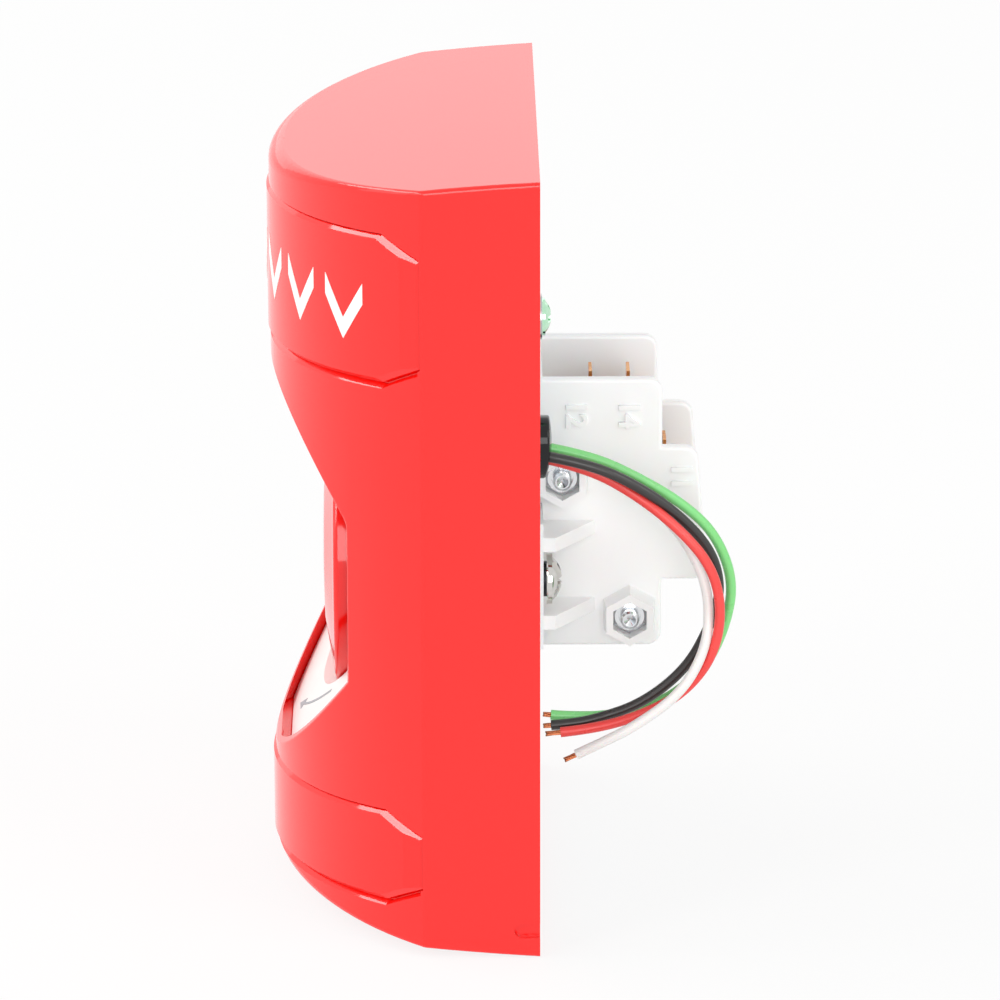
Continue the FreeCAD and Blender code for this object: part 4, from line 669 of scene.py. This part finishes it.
@dataclass
class PrintedMarks:
    """Strips of ink on a face, each with a little thickness."""

    name: str
    face: BowedFace | SlopedFace
    strips: list[list[Pair]]
    proud_mm: float
    sunk_mm: float = 0.02
    weld_m: float = 1e-7

    def build(self) -> bpy.types.Object:
        """Make the strips as one mesh of closed slabs.

        Returns:
            The new object, in the scene.
        """
        shape = bmesh.new()
        for strip in self.strips:
            rings = []
            for low, high in strip:
                corners = [
                    self.face.point(*low, self.proud_mm),
                    self.face.point(*high, self.proud_mm),
                    self.face.point(*high, -self.sunk_mm),
                    self.face.point(*low, -self.sunk_mm),
                ]
                rings.append([shape.verts.new(c) for c in corners])
            for one, two in zip(rings, rings[1:]):
                for i in range(len(one)):
                    j = (i + 1) % len(one)
                    shape.faces.new((one[i], one[j], two[j], two[i]))
            shape.faces.new(rings[0][::-1])
            shape.faces.new(rings[-1])
        bmesh.ops.remove_doubles(shape, verts=shape.verts, dist=self.weld_m)
        bmesh.ops.dissolve_degenerate(shape, edges=shape.edges, dist=self.weld_m)
        bmesh.ops.recalc_face_normals(shape, faces=shape.faces)
        mesh = bpy.data.meshes.new(self.name)
        shape.to_mesh(mesh)
        shape.free()
        return link(self.name, mesh)


@dataclass
class HousingFront:
    """The marks on the housing: chevrons on the upper panel and an arrow on the reset label."""

    face: BowedFace = BowedFace(radius_mm=48.55, axis_y_mm=7.7)
    chevron_count: int = 7
    chevron_spacing_mm: float = 11.6
    chevron_half_width_mm: float = 4.2
    chevron_tip_z_mm: float = 34.3
    chevron_height_mm: float = 6.0
    chevron_steps: int = 12
    stroke_mm: float = 3.2
    ink_mm: float = 0.08
    arrow_radii_mm: tuple[float, float] = (23.7, 28.6)
    arrow_ends_deg: tuple[float, float] = (-57.0, -99.0)
    arrow_width_mm: float = 0.38
    arrow_head_mm: float = 3.2
    arrow_barb_mm: float = 0.9
    arrow_steps: int = 18
    button_z_mm: float = -8.0

    def chevron(self, middle_mm: float) -> list[Pair]:
        """Outline one chevron that points down at the button.

        Args:
            middle_mm: its place round the panel.

        Returns:
            Its strip, from one arm's end to the other's.
        """
        steps = self.chevron_steps
        strip: list[Pair] = []
        for i in range(-steps, steps + 1):
            share = i / steps
            low = self.chevron_tip_z_mm + self.chevron_height_mm * abs(share)
            along = middle_mm + self.chevron_half_width_mm * share
            strip.append(((along, low), (along, low + self.stroke_mm)))
        return strip

    def arrow(self) -> list[Pair]:
        """Outline the arrow that swings out round the button.

        Returns:
            Its strip, from tail to tip.
        """
        (tail, tip), (near, far) = self.arrow_ends_deg, self.arrow_radii_mm
        neck = 1.0 - math.degrees(self.arrow_head_mm / far) / abs(tip - tail)
        half = self.arrow_width_mm / 2
        steps = self.arrow_steps
        rings = [(neck * i / steps, half) for i in range(steps + 1)]
        rings += [(neck, self.arrow_barb_mm), (1.0, 0.0)]
        strip: list[Pair] = []
        for share, width in rings:
            angle = math.radians(tail + (tip - tail) * share)
            radius = near + (far - near) * share**2
            sides = [
                (reach * math.cos(angle), self.button_z_mm + reach * math.sin(angle))
                for reach in (radius - width, radius + width)
            ]
            strip.append((sides[0], sides[1]))
        return strip

    def build(self, nodes: dict[str, bpy.types.Object], shop: Paintshop) -> None:
        """Make the marks and put them on the station.

        Args:
            nodes: the frame's nodes by name.
            shop: where finishes come from.
        """
        middle = (self.chevron_count - 1) / 2
        rows = [
            self.chevron((i - middle) * self.chevron_spacing_mm) for i in range(self.chevron_count)
        ]
        chevrons = PrintedMarks("panel_chevrons", self.face, rows, self.ink_mm).build()
        shop.paint(chevrons, WHITE_INK)
        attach(chevrons, Body.STATION.value)
        LOG.info("panel_chevrons: %d of them", len(rows))
        slope = SlopedFace.of_node(nodes["reset_label"])
        arrow = PrintedMarks("reset_arrow", slope, [self.arrow()], self.ink_mm).build()
        shop.paint(arrow, GREY_INK)
        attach(arrow, Body.STATION.value)
        LOG.info("reset_arrow: from %.0f to %.0f degrees", *self.arrow_ends_deg)


@dataclass
class ReturnSpring:
    """The spring behind the button: a copy of the CAD's coil that stands on the station."""

    node: str = "return_spring"
    joint: str = "button_push"
    travel_mm: float = 4.5

    def build(self, nodes: dict[str, bpy.types.Object], shop: Paintshop) -> None:
        """Copy the CAD's coil in spring steel and stand it on the station.

        Args:
            nodes: the frame's nodes by name.
            shop: where finishes come from.
        """
        solid = nodes[self.node]
        coil = link("return_spring_coil", solid.data.copy())
        coil.matrix_world = solid.matrix_world.copy()
        shop.paint(coil, SPRING_STEEL)
        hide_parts(self.node)
        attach(coil, Body.STATION.value)
        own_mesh(coil)


@dataclass
class TerminalNumbers:
    """Raised numbers on the holder's near cheek, beside the terminals that they name."""

    cheek_x_mm: float = 12.3
    height_mm: float = 4.4
    raised_mm: float = 0.4
    bold_mm: float = 0.09
    edge_mm: float = 0.05
    edge_steps: int = 2
    curve_steps: int = 6
    sunk_mm: float = 0.1
    places_mm: dict[str, tuple[float, float]] = field(
        default_factory=lambda: {"12": (5.8, 16.2), "14": (13.8, 16.1), "11": (21.8, 6.2)}
    )

    def build(self, shop: Paintshop) -> None:
        """Make the numbers, read downwards, and put them on the station.

        Args:
            shop: where finishes come from.
        """
        for number, (y, z) in self.places_mm.items():
            text = bpy.data.curves.new("number", "FONT")
            text.body = number
            text.align_x = "CENTER"
            text.align_y = "CENTER"
            text.size = self.height_mm * MM
            text.extrude = (self.raised_mm + self.sunk_mm) / 2 * MM
            text.offset = self.bold_mm * MM
            text.bevel_depth = self.edge_mm * MM
            text.bevel_resolution = self.edge_steps
            text.resolution_u = self.curve_steps
            drawn = bpy.data.objects.new("number", text)
            mesh = bpy.data.meshes.new_from_object(drawn)
            bpy.data.objects.remove(drawn)
            bpy.data.curves.remove(text)
            out = (self.cheek_x_mm + (self.raised_mm - self.sunk_mm) / 2) * MM
            turn = Matrix(((0, 0, 1, out), (0, 1, 0, y * MM), (-1, 0, 0, z * MM), (0, 0, 0, 1)))
            mesh.transform(turn)
            made = link("terminal_number_" + number, mesh)
            shop.paint(made, WHITE_MOULDING)
            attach(made, Body.STATION.value)
            LOG.info("%s: raised %.2f mm", made.name, self.raised_mm)


@dataclass
class Lead:
    """One lead: its colour, the points of its route in millimetres, and its bared end.

    The bared end is a straight strand with the others twisted round it. Their ends are staggered a
    little, and they start inside the sleeve by the buried share of the bared length.
    """

    colour: str
    finish: Finish
    bare_mm: float
    length_mm: float
    route_mm: list[tuple[float, float, float]]
    sleeve_mm: float = 1.55
    core_mm: float = 0.8
    round_steps: int = 8
    curve_steps: int = 12
    curve_order: int = 3
    strands: int = 6
    strands_across: int = 3
    strand_steps: int = 8
    strand_sides: int = 10
    straight_shares: tuple[float, float, float] = (-0.2, 0.5, 0.97)
    stagger: float = 0.03
    stagger_lengths: int = 3
    twist_per_mm: float = 0.5
    buried: float = 0.1

    @property
    def node(self) -> str:
        """Name of the CAD node that the lead stands for."""
        return self.colour + "_lead"

    def sleeve(self) -> bpy.types.Object:
        """Lay the insulation as one smooth curve through the route.

        Returns:
            The curve object.
        """
        curve = bpy.data.curves.new(self.node + "_sleeve", "CURVE")
        curve.dimensions = "3D"
        curve.bevel_depth = self.sleeve_mm / 2 * MM
        curve.bevel_resolution = self.round_steps
        curve.resolution_u = self.curve_steps
        curve.use_fill_caps = True
        spline = curve.splines.new("NURBS")
        spline.points.add(len(self.route_mm) - 1)
        for point, place in zip(spline.points, self.route_mm):
            point.co = (*(Vector(place) * MM), 1.0)
        spline.order_u = self.curve_order
        spline.use_endpoint_u = True
        return link(self.node + "_sleeve", curve)

    def strand_lines(self) -> list[list[Vector]]:
        """Lines of the twisted strands that stand out of the sleeve's end.

        Returns:
            One list of points for each strand, in metres.
        """
        end = Vector(self.route_mm[-1])
        way = (end - Vector(self.route_mm[-2])).normalized()
        side = way.orthogonal().normalized()
        up = way.cross(side)
        thick = self.core_mm / self.strands_across
        lines = [[(end + way * t * self.bare_mm) * MM for t in self.straight_shares]]
        for i in range(self.strands):
            line = []
            shortened = 1 - self.stagger * (i % self.stagger_lengths)
            for step in range(self.strand_steps + 1):
                share = step / self.strand_steps * shortened
                angle = math.tau * i / self.strands + share * self.bare_mm * self.twist_per_mm
                out = side * math.cos(angle) + up * math.sin(angle)
                along = share * (1 + self.buried) - self.buried
                line.append((end + way * along * self.bare_mm + out * thick) * MM)
            lines.append(line)
        return lines

    def bared(self) -> bpy.types.Object:
        """Make the bared strands as one mesh of closed round wires.

        Returns:
            The mesh object.
        """
        shape = bmesh.new()
        radius = self.core_mm / (2 * self.strands_across) * MM
        sides = self.strand_sides
        angles = [math.tau * k / sides for k in range(sides)]
        for line in self.strand_lines():
            rings = []
            for i, spot in enumerate(line):
                way = (line[min(i + 1, len(line) - 1)] - line[max(i - 1, 0)]).normalized()
                side = way.orthogonal().normalized()
                up = way.cross(side)
                ring = [spot + (side * math.cos(a) + up * math.sin(a)) * radius for a in angles]
                rings.append([shape.verts.new(p) for p in ring])
            for one, two in zip(rings, rings[1:]):
                for k in range(sides):
                    n = (k + 1) % sides
                    face = shape.faces.new((one[k], one[n], two[n], two[k]))
                    face.smooth = True
            shape.faces.new(rings[0][::-1])
            shape.faces.new(rings[-1])
        bmesh.ops.recalc_face_normals(shape, faces=shape.faces)
        mesh = bpy.data.meshes.new(self.colour + "_bared_strands")
        shape.to_mesh(mesh)
        shape.free()
        return link(self.colour + "_bared_strands", mesh)

    def build(self, shop: Paintshop) -> None:
        """Args:
            shop: where finishes come from.
        """
        sleeve = self.sleeve()
        shop.paint(sleeve, self.finish)
        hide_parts(self.node)
        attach(sleeve, Body.STATION.value)
        strands = self.bared()
        shop.paint(strands, BARE_COPPER)
        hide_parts("bare_lead_ends")
        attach(strands, Body.STATION.value)
        LOG.info("%s: %.1f mm long", sleeve.name, self.length_mm)


def wiring() -> list[Lead]:
    """The four leads, each within a millimetre of its route in the CAD.

    Returns:
        The leads in the order that they leave the grommet.
    """
    return [
        Lead("green", GREEN_SLEEVE, 1.2, 77.7, [
            (24.2, 1.2, 14.7), (24.0, 7.7, 13.35), (23.7, 15.0, 9.75), (23.4, 21.7, 5.5),
            (23.0, 26.7, 0.5), (22.8, 29.5, -7.0), (22.6, 28.4, -14.2), (22.5, 25.3, -21.2),
            (22.5, 19.1, -26.6), (22.5, 11.2, -28.7), (22.6, 5.1, -28.8), (22.6, 1.9, -28.5)]),
        Lead("black", BLACK_SLEEVE, 1.2, 73.0, [
            (26.4, 1.2, 14.0), (27.0, 7.7, 12.9), (26.4, 14.6, 9.45), (25.4, 21.0, 4.5),
            (24.8, 26.1, -1.5), (24.5, 27.6, -8.1), (24.4, 25.8, -13.9), (24.4, 22.4, -20.5),
            (24.6, 15.8, -26.0), (24.8, 8.5, -28.5), (25.0, 4.6, -29.1), (25.0, 1.9, -29.3)]),
        Lead("red", RED_SLEEVE, 2.3, 71.9, [
            (24.6, 1.2, 13.0), (25.0, 7.4, 11.6), (25.2, 14.2, 7.8), (27.1, 20.6, 3.2),
            (27.8, 25.9, -2.8), (28.0, 27.6, -9.9), (27.8, 26.3, -17.5), (27.4, 21.6, -23.7),
            (27.2, 14.7, -27.3), (27.0, 8.0, -29.2), (27.0, 3.3, -29.7)]),
        Lead("white", WHITE_SLEEVE, 2.0, 68.3, [
            (22.5, 1.2, 13.1), (22.3, 7.8, 10.6), (22.3, 14.7, 6.9), (23.0, 20.7, 1.7),
            (24.6, 24.5, -4.4), (26.4, 25.8, -9.9), (28.4, 25.1, -16.2), (30.0, 21.3, -22.6),
            (30.6, 14.3, -27.6), (30.8, 9.1, -30.2), (30.8, 5.6, -31.9)]),
    ]


@dataclass(frozen=True)
class Softbox:
    """A plain soft lamp: where it hangs, how large it is and how bright its face is."""

    name: str
    place_m: tuple[float, float, float]
    size_m: tuple[float, float]
    radiance: float

    def hang(self) -> None:
        """Hang the lamp, aimed at the station."""
        lamp = bpy.data.lights.new(self.name, "AREA")
        lamp.shape = "RECTANGLE"
        lamp.size, lamp.size_y = self.size_m
        lamp.energy = self.radiance * math.pi * self.size_m[0] * self.size_m[1]
        hung = link(self.name, lamp)
        hung.location = self.place_m
        hung.rotation_mode = "QUATERNION"
        hung.rotation_quaternion = (-Vector(self.place_m)).to_track_quat("-Z", "Y")


@dataclass
class Studio:
    """A pale floor, soft light from all sides, and the camera."""

    floor_z_mm: float = -60.6
    floor_half_m: float = 4.0
    floor_colour: str = "#F2F2F1"
    floor_white: float = 0.85
    sky_strength: float = 0.55
    softboxes: tuple[Softbox, ...] = (
        Softbox("camera_side_softbox", (1.75, 0.1, 0.5), (1.2, 0.9), 3.2),
        Softbox("front_softbox", (0.4, -1.6, 0.7), (1.0, 1.2), 0.9),
        Softbox("rear_softbox", (0.9, 1.3, 1.1), (1.0, 1.0), 2.6),
        Softbox("backdrop_light", (-1.8, 0.0, 0.75), (3.0, 1.2), 0.5),
        Softbox("front_top_softbox", (-0.35, -1.2, 1.15), (1.4, 0.4), 5.0),
        Softbox("corner_softbox", (1.0, -1.13, 0.97), (0.5, 0.5), 7.0),
    )
    camera_m: tuple[float, float, float] = (0.94989442, -0.01421629, 0.31224747)
    aim_mm: tuple[float, float, float] = (0.3823, -5.5515, -1.4159)
    roll_deg: float = -0.115
    lens_px: float = 6496.6
    clip_m: tuple[float, float] = (0.05, 20.0)

    def seen_plainly(self, tree: bpy.types.NodeTree) -> bpy.types.NodeSocket:
        """Tell the rays that show the studio's white from those that only light.

        Args:
            tree: the node tree that needs it.

        Returns:
            A socket that is 1 for camera, glossy and transmission rays.
        """
        path = add_node(tree, "ShaderNodeLightPath")
        total = path.outputs[Facing.CAMERA.value]
        for kind in (Facing.GLOSSY, Facing.TRANSMISSION):
            total = add_node(
                tree, "ShaderNodeMath", {"operation": "MAXIMUM"},
                {0: total, 1: path.outputs[kind.value]},
            ).outputs[0]
        return total

    def lay_floor(self) -> None:
        """Lay the pale floor under the station."""
        half, z = self.floor_half_m, self.floor_z_mm * MM
        mesh = bpy.data.meshes.new("studio_floor")
        corners = [(-half, -half, z), (half, -half, z), (half, half, z), (-half, half, z)]
        mesh.from_pydata(corners, [], [(0, 1, 2, 3)])
        floor = link("studio_floor", mesh)
        material = bpy.data.materials.new("pale_paper_sweep")
        material.use_nodes = True
        tree = material.node_tree
        tree.nodes.clear()
        paper = add_node(tree, "ShaderNodeBsdfDiffuse", {"Color": linear(self.floor_colour)})
        white = add_node(tree, "ShaderNodeEmission", {"Strength": 1.0})
        share = add_node(
            tree, "ShaderNodeMath", {"operation": "MULTIPLY", 1: self.floor_white},
            {0: self.seen_plainly(tree)},
        )
        both = add_node(
            tree, "ShaderNodeMixShader",
            links={0: share.outputs[0], 1: paper.outputs[0], 2: white.outputs[0]},
        )
        add_node(tree, "ShaderNodeOutputMaterial", links={"Surface": both.outputs[0]})
        mesh.materials.append(material)
        LOG.info("studio_floor: %.1f mm under the frame's origin", -self.floor_z_mm)

    def light(self) -> None:
        """Hang the softboxes and light the sky."""
        world = bpy.data.worlds.new("studio_sky")
        bpy.context.scene.world = world
        world.use_nodes = True
        tree = world.node_tree
        tree.nodes.clear()
        level = add_node(
            tree, "ShaderNodeMapRange", {"To Min": self.sky_strength, "To Max": 1.0},
            {"Value": self.seen_plainly(tree)},
        )
        sky = add_node(
            tree, "ShaderNodeBackground", {"Color": linear("#FFFFFF")},
            {"Strength": level.outputs[0]},
        )
        add_node(tree, "ShaderNodeOutputWorld", links={"Surface": sky.outputs[0]})
        for softbox in self.softboxes:
            softbox.hang()
            LOG.info("%s: radiance %.1f", softbox.name, softbox.radiance)

    def aim_camera(self) -> None:
        """Stand the camera where the photograph was taken from."""
        lens = bpy.data.cameras.new("camera")
        lens.sensor_fit = "HORIZONTAL"
        lens.angle = 2 * math.atan(IMAGE_PX / 2 / self.lens_px)
        lens.clip_start, lens.clip_end = self.clip_m
        camera = link("camera", lens)
        stand = Vector(self.camera_m)
        back = (stand - Vector(self.aim_mm) * MM).normalized()
        turn = (-back).to_track_quat("-Z", "Y").to_matrix()
        roll = Matrix.Rotation(math.radians(self.roll_deg), 3, back)
        camera.matrix_world = Matrix.Translation(stand) @ (roll @ turn).to_4x4()
        bpy.context.scene.camera = camera
        LOG.info("camera: %.2f degrees wide", math.degrees(lens.angle))

    def build(self) -> None:
        """Set the whole studio up."""
        bpy.context.scene.view_settings.view_transform = "Standard"
        self.lay_floor()
        self.light()
        self.aim_camera()


def main() -> None:
    """Dress the station and report each piece."""
    logging.basicConfig(level=logging.INFO, format="%(message)s")
    for old in list(bpy.data.objects):
        bpy.data.objects.remove(old)
    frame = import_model()
    Studio().build()
    shop = Paintshop()
    for lead in wiring():
        lead.build(shop)
    shop.paint_frame(frame["nodes"])
    HousingFront().build(frame["nodes"], shop)
    ReturnSpring().build(frame["nodes"], shop)
    TerminalNumbers().build(shop)


if __name__ == "__main__":
    main()
